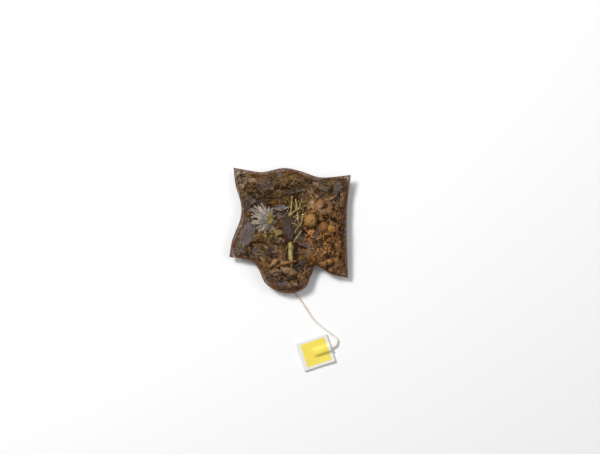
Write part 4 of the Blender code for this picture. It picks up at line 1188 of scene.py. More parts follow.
# %% [markdown]
# ## One scrap of herb
# A scrap is a small grid: long rows of points, a torn width that changes along it, a roll across it and a
# bend along it. It lies on the plane that the heap makes under it, and where the heap is higher than that, it
# is pushed up, as a wet shred is. The same function lays down petals, with a round tip instead of a torn one.

# %% Lay down a scrap
INSIDE_SEAM = 0.985  # the share of the way out that no scrap passes


def lay_scrap(chance, place, turn, length, width, roll, bend, thickness=0.09 * MM, rows=8, columns=4,
              tip=None, lift=0.05 * MM, press=0.35, hugs=False):
    """The closed mesh of one scrap, lying on the heap, and its map."""
    t = np.linspace(-1, 1, rows)
    c = np.linspace(-1, 1, columns)
    if tip is None:
        full = (1 - np.abs(t) ** chance.uniform(1.5, 5)) * 0.85 + 0.15
        left = full * (1 + 0.35 * chance.uniform(-1, 1, rows))
        right = full * (1 + 0.35 * chance.uniform(-1, 1, rows))
    else:
        left = right = np.interp(t, [-1, -0.6, 0.5, 0.85, 1], tip)
    reach = np.where(c[None, :] < 0, left[:, None], right[:, None]) * width / 2
    x = np.repeat(t[:, None] * length / 2, columns, axis=1)
    x = x + (0 if tip else 1) * 0.10 * length * chance.uniform(-1, 1, (1, columns)) * np.abs(t)[:, None] ** 3
    y = c[None, :] * reach + bend * (t[:, None] ** 2 - 0.4)
    up = roll * (c[None, :] ** 2 - 0.4) * (0.6 + 0.4 * np.cos(2.2 * t[:, None] + chance.uniform(-1, 1)))
    up = up + chance.uniform(-0.06, 0.10) * MM * np.sin(3 * t[:, None] + chance.uniform(0, 6))
    cos, sin = math.cos(turn), math.sin(turn)
    plan = turned(x, y, turn) + place
    plan *= np.minimum(1, INSIDE_SEAM / share_of(plan))[:, None]
    along, side = np.array([cos, sin]) * length / 2, np.array([-sin, cos]) * max(width / 2, 0.4 * MM)
    probe = at(lie, np.array([place - along, place + along, place - side, place + side, place]))
    plane = (probe[4] * 0.4 + probe[:4].mean() * 0.6 + x.ravel() * (probe[1] - probe[0]) / length
             + y.ravel() * (probe[3] - probe[2]) / (2 * np.linalg.norm(side)))
    on_heap = at(lie, plan) + press * up.ravel()
    z = (on_heap if hugs else np.maximum(plane + up.ravel(), on_heap)) + lift
    ceiling, below = at(roof, plan) + 0.12 * MM, at(cellar, plan) + 0.3 * MM
    z = np.maximum(np.minimum(z, ceiling), np.minimum(below, ceiling))
    triangles, rim = grid_triangles(rows, columns)
    points, faces = thickened(np.column_stack([plan, z]), triangles, rim, thickness)
    own = np.column_stack([(x / length + 0.5).ravel(), np.tile(c / 2 + 0.5, rows)])
    return points, faces, np.concatenate([own, own])


class Pieces:
    """Scraps of one finish, gathered into one mesh."""

    def __init__(self):
        self.points, self.faces, self.maps, self.count, self.total = [], [], [], 0, 0

    def take(self, made):
        points, faces, own = made
        self.points.append(points)
        self.faces.append(faces + self.total)
        self.maps.append(own)
        self.total += len(points)
        self.count += 1

    def finish(self, name, material, slot, stands_for=()):
        return add_piece(name, np.concatenate(self.points), np.concatenate(self.faces), material, stands_for,
                         {"leaf": np.concatenate(self.maps)})


# %% [markdown]
# ## The loose scraps
# Between the large pieces, most of what shows is shreds: dark, fibrous ones along the straight upper edge,
# tan and brown ones down the right side, grey and tan ones in the lower lobe, and few at the left, where a
# broad slate leaf and the flower lie open. So the plan is divided into zones, each with its own mix of
# finishes, and some places are kept clear: a scrap isn't laid where it would hide the flower, a berry, the
# hip or a pale stalk.

# %% Say what lies where
CLEAR = [  # plan places kept open, in millimetres: middle x and y, and radius
    (-11.2, 5.6, 5.0), (8.8, 4.4, 2.9), (14.2, 1.6, 1.7), (17.6, 0.6, 2.1), (17.4, -9.6, 1.0),
    (16.8, -12.9, 1.2),
    (17.6, -16.4, 1.2), (14.8, 9.6, 3.5), (-18.4, -2.6, 3.6), (-17.0, 0.6, 2.6), (-4.2, 9.8, 2.6),
    (-1.0, 0.8, 2.6),
    (-0.2, 4.0, 1.8), (-1.4, -2.0, 1.6), (0.3, -6.6, 1.6), (0.3, -9.0, 1.6), (0.3, -11.4, 1.4),
    (-3.9, 4.5, 2.2),
]
CLEAR += [(x, y, 0.9) for x, y in ((0.4, 6.5), (0.6, 9.0), (0.8, 11.5), (0.9, 14.0), (3.6, 5.5), (3.2, 8.0),
                                   (2.8, 10.5),
                                   (2.5, 13.0), (1.0, 7.2), (3.6, 9.4), (2.2, -4.2), (4.0, -1.4))]
clear = np.array(CLEAR) * MM
# The upper edge is strewn mostly with black scraps, which are partly painted shade under the rolled leaves
# there.
ZONES = (  # whether a place is in it, how thickly it is strewn, how many are needles, and its finishes
    (lambda x, y: y > 12.5, 1.0, 0.45, (("leaf_dark", 5), ("leaf_black", 9), ("leaf_olive", 3),
                                        ("leaf_tan", 7), ("leaf_slate", 4), ("stalk_pale", 1))),
    (lambda x, y: x > 6.5 and y > -16, 0.95, 0.30, (("leaf_tan", 4), ("leaf_amber", 9), ("leaf_dark", 3),
                                                    ("leaf_black", 7), ("stalk_brown", 3))),
    (lambda x, y: x > 12, 0.95, 0.30, (("leaf_tan", 4), ("leaf_amber", 6), ("leaf_dark", 5),
                                       ("stalk_brown", 3))),
    (lambda x, y: y < -8.5, 1.0, 0.25, (("leaf_tan", 6), ("leaf_dark", 3), ("leaf_black", 3),
                                        ("leaf_slate", 5), ("leaf_olive", 2), ("stalk_brown", 3))),
    (lambda x, y: True, 0.62, 0.30, (("leaf_dark", 4), ("leaf_black", 3), ("leaf_slate", 5),
                                     ("leaf_olive", 4), ("stalk_pale", 2), ("leaf_tan", 3))),
)
heaps = {}


def lay_on(kind, made, raises=True):
    """Puts a scrap with the others of its finish, and lets what comes later lie on it."""
    heaps.setdefault(kind, Pieces()).take(made)
    if raises:
        raise_grid(made[0][: len(made[0]) // 2])


def room_round(place):
    """How far a place is from the nearest clear place's edge."""
    return (np.linalg.norm(clear[:, :2] - place, axis=1) - clear[:, 2]).min()


def along_edge(place, most):
    """The turn that lays a scrap along the seam, give or take."""
    return math.atan2(place[1], place[0]) + math.pi / 2 + chance.uniform(-most, most)


print(len(CLEAR), "places are kept clear, in", len(ZONES), "zones")

# %% [markdown]
# ## Strewn by chance
# A seeded chance picks each scrap's place, turn, size and finish, in thirteen batches. Between two batches
# the heap's grid is softened again, so that each batch lies on the one before it, as when herbs are poured.
# Shaking brings the large pieces to the top, so the last four batches are broader and crinkled.

# %% Strew the scraps
def crinkled(made, width, deep=1.0):
    """A scrap with a crinkled surface and a frayed edge, still inside the seam."""
    own = made[0][: len(made[0]) // 2]
    crinkle = deep * MM * (0.26 * wander(own, 1.5 * MM, 130) + 0.13 * wander(own, 0.7 * MM, 131))
    fray = min(0.28 * MM, 0.72 * MM**2 / width) * np.column_stack(
        [wander(own, 0.8 * MM, 132), wander(own, 0.8 * MM, 133), 0 * crinkle])
    made[0][:] += np.tile(fray + np.column_stack([0 * crinkle, 0 * crinkle, crinkle]), (2, 1))
    made[0][:, :2] *= np.minimum(1, INSIDE_SEAM / share_of(made[0][:, :2]))[:, None]
    return made


chance = np.random.default_rng(848)
for batch in range(13):
    broad = batch >= 9  # the last ones are larger: the small ones have sifted down between them
    lie = softened(ground)
    for _ in range(80 if broad else 125):
        place = chance.uniform(-26, 26, 2) * MM
        out = share_of(place[None])[0]
        if out > 0.975:
            continue
        zone = next(z for z in ZONES if z[0](place[0] / MM, place[1] / MM))
        if chance.uniform() > zone[1]:
            continue
        needle = chance.uniform() < zone[2] * (0.5 if broad else 1)
        length = chance.uniform(2.6, 7.0) * MM if needle else chance.uniform(1.6, 5.2) * MM
        width = chance.uniform(0.20, 0.50) * MM if needle else length * chance.uniform(0.22, 0.52)
        if broad and not needle:
            length = chance.uniform(2.8, 6.0) * MM
            width = length * chance.uniform(0.34, 0.60)
        if room_round(place) < (0.25 if needle else 0.36) * length:
            continue
        turn = chance.uniform(0, math.pi)
        if out > 0.84:  # a scrap at the edge lies along it
            turn = along_edge(place, 0.35)
            length, width = length * 0.7, width * 0.7
        kinds = [name for name, weight in zone[3] for _ in range(weight)]
        made = lay_scrap(chance, place, turn, length, width,
                         chance.uniform(-0.55, 0.95) * min(width, 1.1 * MM),
                         chance.uniform(-0.16, 0.16) * length, columns=3 if needle else 7 if broad else 5,
                         rows=14 if broad else 9, lift=chance.uniform(0.04, 0.26) * MM)
        lay_on(kinds[chance.integers(len(kinds))], crinkled(made, width, 0.8) if broad and not needle
               else made)
print(sum(pieces.count for pieces in heaps.values()), "scraps strewn")

# %% [markdown]
# ## Whole fragments of leaf
# Some eighty fragments are larger, and each has its own place: they give the heap its main lights and darks.
# A wet leaf is never flat. Each is a finer grid than a scrap, its width is torn along its length, its surface
# is crinkled at two scales, and its edge is frayed, least on the broad ones, where a frayed grid would cross
# itself.

# %% Lay down the leaf fragments
# The black fragments lie where the darkest shadows fall between pieces: they are partly black leaf and partly
# painted shade.
FRAGMENTS = (  # place, turn in degrees, length and width in millimetres, and kind of leaf
    (-20.6, 17.8, 12, 4.8, 2.4, "tan"), (-19.2, 21.4, 4, 5.8, 2.2, "slate"),
    (-3.4, 21.4, -15, 6.0, 2.8, "tan"), (-10.0, 20.0, 8, 5.6, 4.4, "deep"),
    (0.8, 22.8, -24, 6.6, 3.2, "dark"), (4.6, 19.0, 25, 5.4, 2.8, "dark"),
    (13.4, 18.8, 104, 8.6, 2.8, "slate"), (15.0, 17.6, 99, 7.8, 1.6, "olive"),
    (20.0, 17.8, 60, 6.2, 2.8, "slate"), (7.8, 12.6, 42, 6.0, 2.4, "olive"),
    (20.6, 7.6, 78, 6.8, 2.8, "dark"), (20.6, -6.6, 85, 6.6, 2.6, "amber"),
    (12.6, -5.0, 20, 6.8, 3.2, "dark"), (9.6, -9.4, -24, 7.0, 3.8, "tan"),
    (21.0, -15.6, 70, 5.6, 2.4, "amber"), (-6.2, -4.6, 25, 6.4, 2.4, "tan"),
    (-12.6, -6.6, -14, 7.4, 2.4, "dark"), (-21.6, -8.6, 20, 6.4, 3.2, "slate"),
    (-14.6, -9.8, -8, 7.6, 2.8, "slate"), (-6.6, -10.6, 6, 7.4, 2.8, "slate"),
    (-10.8, -15.0, 66, 6.4, 3.2, "dark"), (-6.6, -19.4, 30, 7.0, 4.0, "slate"),
    (-0.6, -17.0, -20, 7.4, 3.4, "tan"), (4.8, -14.4, 52, 6.4, 3.2, "slate"),
    (5.2, -20.0, -62, 6.6, 3.4, "tan"), (-1.4, -23.0, 4, 7.4, 3.2, "slate"),
    (-18.3, 11.8, 78, 7.8, 4.0, "slate"), (-10.6, 13.8, 8, 8.0, 2.2, "dark"),
    (1.6, 16.6, 14, 6.2, 2.2, "slate"), (-13.8, 15.2, -30, 5.4, 2.2, "slate"),
    (-19.8, 14.4, 75, 5.0, 2.2, "olive"), (-3.0, 14.6, -30, 5.2, 2.0, "olive"),
    (17.4, 14.4, 25, 6.0, 2.2, "tan"), (22.2, 13.0, 85, 5.8, 2.2, "tan"),
    (10.6, -1.6, 62, 5.0, 2.0, "slate"), (15.4, -6.8, -55, 5.6, 2.2, "amber"),
    (12.2, -12.6, 30, 5.2, 2.2, "dark"), (-3.4, -8.0, -22, 5.6, 2.0, "dark"),
    (-15.8, -11.6, 35, 5.0, 2.0, "tan"), (-8.8, -23.0, -30, 4.6, 2.4, "tan"),
    (2.6, -12.0, -70, 5.0, 1.8, "dark"), (-6.8, -13.4, 48, 5.0, 2.2, "tan"),
    (1.6, -20.6, 74, 5.0, 2.4, "dark"), (13.4, -9.0, 78, 4.4, 1.8, "tan"),
    (19.6, -3.0, 64, 5.2, 2.0, "amber"), (9.6, -5.6, -48, 4.6, 2.0, "amber"),
    (14.4, -13.4, 50, 4.6, 2.0, "amber"), (19.8, -11.4, 80, 5.2, 2.0, "amber"),
    (17.6, -4.4, -20, 4.4, 2.0, "amber"), (-18.4, 16.0, -6, 7.0, 1.8, "black"),
    (-10.8, 16.6, 5, 8.4, 1.8, "black"), (-3.4, 18.3, -7, 6.4, 2.2, "black"),
    (-13.8, 18.4, 20, 3.6, 2.0, "black"), (4.6, 16.1, 9, 7.0, 1.5, "black"),
    (-8.6, -12.6, 40, 4.2, 2.6, "black"), (16.2, -9.8, 62, 5.0, 2.6, "black"),
    (7.8, -2.6, -20, 4.8, 1.6, "black"), (-13.2, -5.0, 8, 5.4, 1.3, "black"),
    (10.8, 16.6, 60, 4.6, 1.6, "black"), (-1.8, -14.4, 15, 4.6, 1.6, "black"),
    (-3.6, 6.6, 15, 4.8, 2.6, "slate"), (-4.0, 3.0, 60, 4.4, 2.2, "dark"),
    (20.4, 3.6, 80, 5.0, 1.4, "black"), (-21.4, 22.6, 40, 4.0, 1.6, "black"),
    (-3.8, -20.4, 80, 3.6, 1.6, "black"), (2.8, -17.4, -40, 3.6, 1.4, "black"),
    (14.0, -3.0, 30, 4.0, 1.5, "black"), (19.0, -8.0, -70, 3.8, 1.5, "black"),
    (7.6, 21.4, -20, 5.0, 1.8, "black"), (13.0, -5.4, 70, 4.4, 2.4, "black"),
    (11.2, -8.0, -58, 6.0, 1.8, "tan"), (12.6, -11.0, -66, 5.6, 1.6, "tan"),
    (-16.0, 21.4, 24, 3.4, 1.4, "tan"), (-6.6, 18.6, 66, 3.2, 1.3, "tan"), (2.4, 20.4, 38, 3.6, 1.3, "tan"),
    (7.4, 16.8, 84, 3.4, 1.3, "tan"), (11.2, 19.6, -34, 3.4, 1.5, "tan"),
    (-13.4, 16.2, 60, 3.0, 1.2, "tan"), (-6.8, 22.8, 10, 3.6, 1.6, "black"),
    (1.4, 18.6, -30, 3.8, 1.6, "black"), (-21.4, 17.0, 80, 4.0, 1.6, "black"),
    (-14.0, -2.3, 47, 6.6, 1.8, "dark"), (-9.2, -5.4, -5, 6.4, 1.6, "black"),
)
lie = softened(ground)
for number, (x, y, degrees, length, width, kind) in enumerate(FRAGMENTS):
    bite = np.random.default_rng(900 + number).uniform(0.35, 1.0, 5)
    torn = [0.3 * bite[0], 0.6 + 0.4 * bite[1], 0.55 + 0.45 * bite[2], 0.7 * bite[3], 0.25 * bite[4]]
    made = lay_scrap(chance, np.array([x, y]) * MM, math.radians(degrees), length * MM, width * MM,
                     chance.uniform(-0.7, 1.0) * MM, chance.uniform(-0.12, 0.12) * length * MM, rows=24,
                     columns=11, thickness=0.10 * MM, lift=0.15 * MM, tip=torn)
    lay_on("leaf_" + kind, crinkled(made, width * MM))
print(len(FRAGMENTS), "fragments of leaf")

# %% [markdown]
# ## Scraps round the berries and along the seam
# Scraps stick round each berry and the hip, under the widest part. Round the smallest berries they start
# further out, or they would bury them. And the finest bits have been washed outwards, into the wedge along
# the seam, where they lie more or less along it.

# %% Fill the nests and the edge
lie = softened(nest_floor, 1)
for x, y, _, radius in nests:
    inner = 0.72 if radius > 1.6 * MM else 1.05
    for number in range(30 + int(16 * radius / MM)):
        turn = chance.uniform(0, 2 * math.pi)
        place = np.array([x, y]) + np.array([math.cos(turn), math.sin(turn)]) * radius * chance.uniform(
            inner, 1.9)
        length = chance.uniform(0.9, 2.6) * MM
        made = lay_scrap(chance, place, turn + math.pi / 2 + chance.uniform(-0.7, 0.7), length,
                         chance.uniform(0.25, 0.8) * MM, 0.15 * MM, chance.uniform(-0.1, 0.2) * length,
                         columns=3, rows=8, lift=chance.uniform(0.04, 0.2) * MM)
        lay_on(("leaf_dark", "leaf_amber", "leaf_black", "leaf_tan", "leaf_amber")[number % 5], made, False)
lie = softened(ground)
EDGE_KINDS = {  # at the top and left of the bag, and at the right
    True: ("leaf_dark", "leaf_slate", "leaf_black", "leaf_tan", "leaf_olive", "leaf_slate", "leaf_dark"),
    False: ("leaf_dark", "leaf_amber", "leaf_tan", "stalk_brown", "leaf_black", "leaf_amber", "leaf_dark"),
}
for number in range(520):
    spoke = chance.integers(SPOKES)
    place = outline[spoke] * fin_share[spoke] * chance.uniform(0.86, 0.985)
    length = chance.uniform(0.7, 2.6) * MM
    if room_round(place) < 0.3 * length:
        continue
    made = lay_scrap(chance, place, along_edge(place, 1.0), length, chance.uniform(0.22, 0.8) * MM,
                     chance.uniform(-0.1, 0.3) * MM, 0.0, columns=3, rows=7,
                     lift=chance.uniform(0.0, 0.12) * MM)
    lay_on(EDGE_KINDS[bool(place[0] < -4 * MM or place[1] > 10 * MM)][number % 7], made, False)
print("scraps in", len(nests), "nests and along the seam")

# %% [markdown]
# ## Fibres
# Last come loose fibres. In four tufts they stick out in all ways, where the herbs are most shredded. Hair-
# fine ones lie over the whole heap, pale and dark, and catch the light.

# %% Add the fibres
TUFTS = (  # from and to in x and y, how many fibres, and finishes
    (-23.0, -13.0, 15.0, 25.0, 20, ("stalk_pale", "leaf_black", "leaf_tan", "leaf_tan", "leaf_black")),
    (-14.0, 24.0, 14.0, 25.0, 24, ("leaf_tan", "leaf_black", "leaf_slate", "leaf_dark", "leaf_olive",
                                   "leaf_black")),
    (7.0, 24.0, -19.0, 5.0, 36, ("leaf_amber", "leaf_black", "leaf_tan", "leaf_amber", "leaf_dark")),
    (-14.0, 9.0, -26.0, -12.0, 10, ("leaf_tan", "leaf_black", "leaf_slate", "leaf_dark")),
)
lie = softened(ground)
for left, right, lower, higher, how_many, kinds in TUFTS:
    for number in range(how_many):
        place = np.array([chance.uniform(left, right), chance.uniform(lower, higher)]) * MM
        if share_of(place[None])[0] > 0.96 or room_round(place) < 0.9 * MM:
            continue
        length = chance.uniform(1.8, 5.2) * MM
        lay_on(kinds[number % len(kinds)], lay_scrap(
            chance, place, chance.uniform(0, math.pi), length, chance.uniform(0.22, 0.50) * MM, 0.08 * MM,
            chance.uniform(-0.15, 0.15) * length, columns=3, rows=10, lift=chance.uniform(0.1, 0.4) * MM),
               False)
for number in range(110):
    place = chance.uniform(-25, 25, 2) * MM
    out = share_of(place[None])[0]
    if out > 0.95 or room_round(place) < 0.3 * MM:
        continue
    length = chance.uniform(1.6, 5.0) * MM
    lay_on(("stalk_pale", "leaf_dark", "leaf_tan", "leaf_slate", "leaf_dark")[number % 5], lay_scrap(
        chance, place, along_edge(place, 0.5) if out > 0.8 else chance.uniform(0, math.pi), length,
        chance.uniform(0.11, 0.24) * MM, 0.04 * MM, chance.uniform(-0.2, 0.2) * length, columns=3, rows=9,
        lift=chance.uniform(0.10, 0.32) * MM), False)
for kind, pieces in heaps.items():
    herbs.append(pieces.finish("scraps_" + kind, finish[kind], SLOT_OF.get(kind, kind)))
print(sum(pieces.count for pieces in heaps.values()), "scraps, with",
      sum(len(h.data.polygons) for h in herbs[-len(heaps):]), "triangles")

# %% [markdown]
# ## The flower
# The flower head lies on its side, pressed flat by the net: its petals fan out to the left in long, narrow,
# crumpled strips over one another, and only short ones show on the other side. In their middle stands a low
# oval dome of tiny florets, set out as a sunflower sets out its seeds: each one a fixed turn on from the
# last.

# %% Open the flower
low, high = (np.array(c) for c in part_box("flower_head"))
bloom = np.array([high[0] - 2.2 * MM, (low[1] + high[1]) / 2 - 0.4 * MM])
petals = Pieces()
chance = np.random.default_rng(61)
cup = heights(tree_of([nodes["flower_head"]]), cells).reshape(shape)
lie = softened(np.maximum(ground, np.nan_to_num(cup, nan=0.0) - 0.35 * MM), 4)
for round_of, (how_many, reach, up) in enumerate(((40, 1.0, 0.04), (36, 0.84, 0.16), (24, 0.62, 0.28))):
    for number in range(how_many):
        turn = 2 * math.pi * (number + 0.5 * round_of) / how_many + chance.uniform(-0.13, 0.13)
        leftward = 0.5 - 0.5 * math.cos(turn)  # 1 for a petal that points left, 0 for one that points right
        if chance.uniform() > 0.35 + 0.65 * leftward:
            continue
        length = reach * (2.4 + 6.2 * leftward**1.3) * chance.uniform(0.78, 1.06) * MM
        way = np.array([math.cos(turn), math.sin(turn)])
        petals.take(lay_scrap(chance, bloom + way * (0.9 * MM + length / 2),
                              turn + chance.uniform(-0.16, 0.16), length,
                              chance.uniform(0.48, 0.92) * MM, chance.uniform(-0.10, 0.40) * MM,
                              chance.uniform(-0.11, 0.11) * length, thickness=0.10 * MM, rows=14, columns=5,
                              tip=[0.45, 0.75, 1.0, 0.9, 0.4], lift=(up + chance.uniform(0, 0.12)) * MM,
                              press=1.0))
flower = petals.finish("flower_petals", finish["petal"], "petal", ("flower_head",))
herbs.append(flower)
base = float(at(lie, bloom[None])[0])
floret, floret_faces = fine_sphere(2)
disc = Pieces()
OVAL = np.array([0.85, 1.5])
for number in range(150):
    out = 1.55 * MM * math.sqrt((number + 0.5) / 150)
    turn = number * math.radians(137.5)
    place = np.array([*(bloom + OVAL * out * (math.cos(turn), math.sin(turn))),
                      base + 0.50 * MM + 0.50 * MM * (1 - (out / (1.7 * MM)) ** 2)])
    size = np.array([0.15, 0.15, 0.24]) * chance.uniform(0.8, 1.15) * MM
    disc.take((floret * size + place, floret_faces, floret[:, :2]))
dome, dome_faces = fine_sphere(4)
disc.take((dome * np.array([*(1.6 * OVAL), 0.75]) * MM + (*bloom, base + 0.25 * MM), dome_faces, dome[:, :2]))
herbs.append(disc.finish("flower_middle", disc_finish, "petal"))
print(petals.count, "petals and", disc.count - 1, "florets")

# %% [markdown]
# ## Sprigs and a flap
# The pale stalks carry thinner side shoots, which lie over and under one another in the middle of the bag.
# Two torn flaps of the hip's skin point away from its shell. They are laid on the heap as it now stands.

# %% Lay the sprigs and the flaps
SPRIGS = (  # each one's two ends in the plan and its radius, in millimetres
    (-0.6, 7.2, 1.8, 5.4, 0.22), (1.8, 5.6, 4.9, 9.4, 0.21), (5.3, 4.7, 5.7, 9.6, 0.20),
    (3.1, 0.9, 5.5, 5.0, 0.22),
    (2.2, 8.0, 3.9, 12.9, 0.19), (-0.4, 9.0, -2.1, 12.6, 0.17), (4.6, 9.0, 7.2, 10.9, 0.17),
    (0.4, -4.6, -1.6, -8.2, 0.20), (-1.2, 11.4, 0.9, 8.2, 0.16), (1.4, 12.2, 3.3, 8.8, 0.16),
    (2.0, 3.4, 4.4, 6.2, 0.18),
    (4.3, 1.6, 2.6, 5.6, 0.18), (0.6, 3.2, 3.4, 2.0, 0.17), (3.6, 6.6, 6.8, 7.6, 0.15),
    (-0.9, 5.6, 1.6, 8.4, 0.15), (4.0, 11.0, 5.0, 13.8, 0.15), (1.9, -1.4, 3.6, 1.8, 0.18),
)
FLAPS = (  # place, turn in degrees, length, width, roll and bend, rows and columns, lift, and torn width
    (11.2, 9.7, 42, 8.0, 3.0, 0.55, 0.5, 26, 13, 0.30, [0.10, 0.5, 1.0, 0.9, 0.5]),
    (17.8, 7.4, -32, 3.8, 2.4, 0.4, 0.2, 16, 9, 0.2, [0.7, 1.0, 0.9, 0.6, 0.2]),
)
lie = softened(ground, 3)
for number, (x0, y0, x1, y1, thick) in enumerate(SPRIGS):
    t = np.linspace(0, 1, 6)[:, None]
    line = (np.array([x0, y0]) * (1 - t) + np.array([x1, y1]) * t) * MM
    across = np.array([[y0 - y1, x1 - x0]])
    line += 0.3 * MM * np.sin(math.pi * t) * across / math.hypot(x1 - x0, y1 - y0) * (-1) ** number
    z = at(lie, line) + (thick + 0.08) * MM
    points, faces, _ = make_stalk(np.column_stack([line, z]), thick * MM, 400 + 3 * number, stations=30,
                                  around=12)
    herbs.append(add_piece("sprig_" + str(number + 1), points, faces, finish["stalk_pale"]))
flap = Pieces()
lie = softened(ground, 16)
for x, y, degrees, length, width, roll, bend, rows, columns, lift, torn in FLAPS:
    flap.take(lay_scrap(
        chance, np.array([x, y]) * MM, math.radians(degrees), length * MM, width * MM, roll * MM, bend * MM,
        thickness=0.16 * MM, rows=rows, columns=columns, tip=torn, lift=lift * MM, press=1.0, hugs=True))
herbs.append(flap.finish("hip_flap", finish["berry_tan"], "hip"))
print(len(SPRIGS), "sprigs and two flaps")

# %% [markdown]
# ## The net, draped
# The pouch is two sheets of net, an upper and a lower one, each a fan of spokes from the middle out to the
# cut edge. The upper sheet is draped over everything in the bag: it starts as the solid's roof and is relaxed
# as a stretched skin is, each point going to the mean of its neighbours, pulled down a little by its own wet
# weight. It stops at the herbs, and also at a set depth below the solid's roof. That second bound holds it up
# over about a third of the bag, where a free drape would sink deeper between the herbs. No cloth simulation
# is run. Puckers from the weld, pulls towards the corners and the wave of the fin are added last.

# %% Drape the upper sheet
INNER_RINGS, FIN_RINGS = 58, 6
shares = np.concatenate([np.linspace(0, 1, INNER_RINGS + 1)[1:] ** 0.92, np.linspace(0, 1, FIN_RINGS + 1)[1:]
                         + 1])
reach = np.linalg.norm(outline, axis=1)
way_out = outline / reach[:, None]
radius = np.where(shares[:, None] <= 1, shares[:, None] * (reach * fin_share)[None, :],
                  (reach * fin_share)[None, :] + (shares[:, None] - 1) * FIN_WIDTH)
plan = radius[:, :, None] * way_out[None]  # rings, spokes, x and y
flat_plan = plan.reshape(-1, 2)
on_fin = shares >= 1

everything = tree_of(herbs)
herb_top = heights(everything, flat_plan).reshape(radius.shape)
herb_top = np.nan_to_num(herb_top, nan=-1.0)
hug = herb_top.copy()
for shift in (1, -1):  # a point clears what its neighbours on the next spokes have to clear
    hug = np.maximum(hug, np.roll(herb_top, shift, axis=1) - 0.10 * MM)
start = np.nan_to_num(heights(pouch_tree, flat_plan * 0.999).reshape(radius.shape), nan=SEAM_HEIGHT)
SLACK = 0.35 * MM  # how far the net may sink below the top of the solid roof
CLEARANCE = 0.13 * MM  # how far the net stays above the herbs
lowest = np.where(on_fin[:, None], -1.0, np.maximum(hug + CLEARANCE, start - SLACK))
sheet = np.where(on_fin[:, None], SEAM_HEIGHT, np.maximum(start, lowest))
gap_out = np.diff(radius, axis=0, prepend=0)
gap_in = gap_out.copy()
gap_next = np.linalg.norm(plan - np.roll(plan, -1, axis=1), axis=2)
w_in, w_out = 1 / gap_in[:-1] ** 2, 1 / gap_out[1:] ** 2
w_next, w_last = 1 / gap_next[:-1] ** 2, 1 / np.roll(gap_next, 1, axis=1)[:-1] ** 2
WEIGHT = 210.0  # how hard the wet net is pulled down between the herbs, per metre
ROUNDS = 900
for step in range(ROUNDS):
    middle = sheet[0].mean()
    inner = np.concatenate([np.full((1, SPOKES), middle), sheet[:-2]])
    mean = (w_in * inner + w_out * sheet[1:] + w_next * np.roll(sheet[:-1], -1, axis=1)
            + w_last * np.roll(sheet[:-1], 1, axis=1) - WEIGHT)
    relaxed = mean / (w_in + w_out + w_next + w_last)
    sheet[:-1] = np.where(on_fin[:-1, None], SEAM_HEIGHT, np.maximum(relaxed, lowest[:-1]))
print("the draped sheet is", round(float(sheet.max()) * 1000, 2), "mm high")

# %% [markdown]
# ## Puckers, pulls and the fin
# A weld shrinks the net a little, so the cloth beside it stands in short puckers that run in from it and fade
# out. From each corner a longer fold is pulled towards the middle. The fin itself is stiff where it is fused,
# yet thin: it waves along its length, and its corners droop or lift.

# %% Pucker the sheets
around_edge = np.concatenate([[0], np.cumsum(np.linalg.norm(np.diff(outline, axis=0), axis=1))])
full_turn = around_edge[-1] + np.linalg.norm(outline[0] - outline[-1])
edge_turn = around_edge / full_turn * 2 * math.pi
loop = np.column_stack([np.cos(edge_turn), np.sin(edge_turn)])
loop_size = full_turn / (2 * math.pi)
pleat = wander(loop * loop_size, 1.5 * MM, 41) + 0.5 * wander(loop * loop_size, 0.7 * MM, 42)
pleat_way = 0.5 + 0.5 * wander(loop * loop_size, 6.0 * MM, 43)
near_seam = np.clip(1 - np.abs(np.minimum(shares, 1) - 0.93) / 0.15, 0, 1) ** 1.3
pucker = 0.42 * MM * near_seam[:, None] * (pleat * (0.4 + pleat_way))[None, :]
corner_places = np.array([(x, y) for x, y, corner in OUTLINE if corner]) * MM
drawn = np.array([(x, y) for x, y, _ in OUTLINE])
corner_places = corner_places - (drawn.min(0) + drawn.max(0)) / 2 * MM
pulls = np.zeros(radius.shape)
droop = np.zeros(radius.shape)
for corner, lift in zip(corner_places, (-0.9, 0.7, -1.2, -0.6)):
    line = corner / np.linalg.norm(corner)
    away = plan @ line
    off = plan @ np.array([-line[1], line[0]])
    fan = np.cos(off / (0.9 * MM) + 3 * wander(flat_plan, 6 * MM, 44).reshape(radius.shape))
    way_there = away / np.linalg.norm(corner)
    fade = np.clip((way_there - 0.55) / 0.3, 0, 1) * np.clip(1.08 - way_there, 0, 1)
    pulls += 1.5 * MM * fade * bell(off, 3.0 * MM) * fan * 0.5
    droop += lift * MM * np.clip((way_there - 0.82) / 0.18, 0, 1) ** 1.5
crumple = 0.05 * MM * wander(flat_plan, 1.0 * MM, 45).reshape(radius.shape)
fin_wave = (0.34 * wander(loop * loop_size, 5.0 * MM, 46)
            + 0.14 * wander(loop * loop_size, 1.6 * MM, 47)) * MM
fin_rise = np.clip((shares - 0.93) / 0.4, 0, 1)[:, None] * fin_wave[None, :] + droop
upper = sheet + (pucker + pulls * 0.6 + crumple) * np.where(on_fin[:, None], 0.25, 1.0)
upper = np.maximum(upper, np.where(on_fin[:, None], -1.0, lowest)) + fin_rise + 0.03 * MM

under = np.nan_to_num(heights(pouch_tree, flat_plan * 0.999, False).reshape(radius.shape), nan=SEAM_HEIGHT)
under = np.where(on_fin[:, None], SEAM_HEIGHT, under + 0.06 * MM)
soft_dents = 0.16 * MM * (0.5 + 0.5 * wander(flat_plan, 2.0 * MM, 48).reshape(radius.shape))
under = under + soft_dents * np.clip(shares * 3, 0, 1)[:, None] * np.where(on_fin, 0, 1)[:, None]
under = under + np.where(on_fin[:, None], 0.25, 0.5) * pucker + fin_rise - 0.03 * MM
under = np.minimum(under, upper - 0.06 * MM)
under = np.maximum(under, 0.03 * MM)
print("the fin lies", round(float(upper[-1].min()) * 1000, 1), "to", round(float(upper[-1].max()) * 1000, 1),
      "mm up")


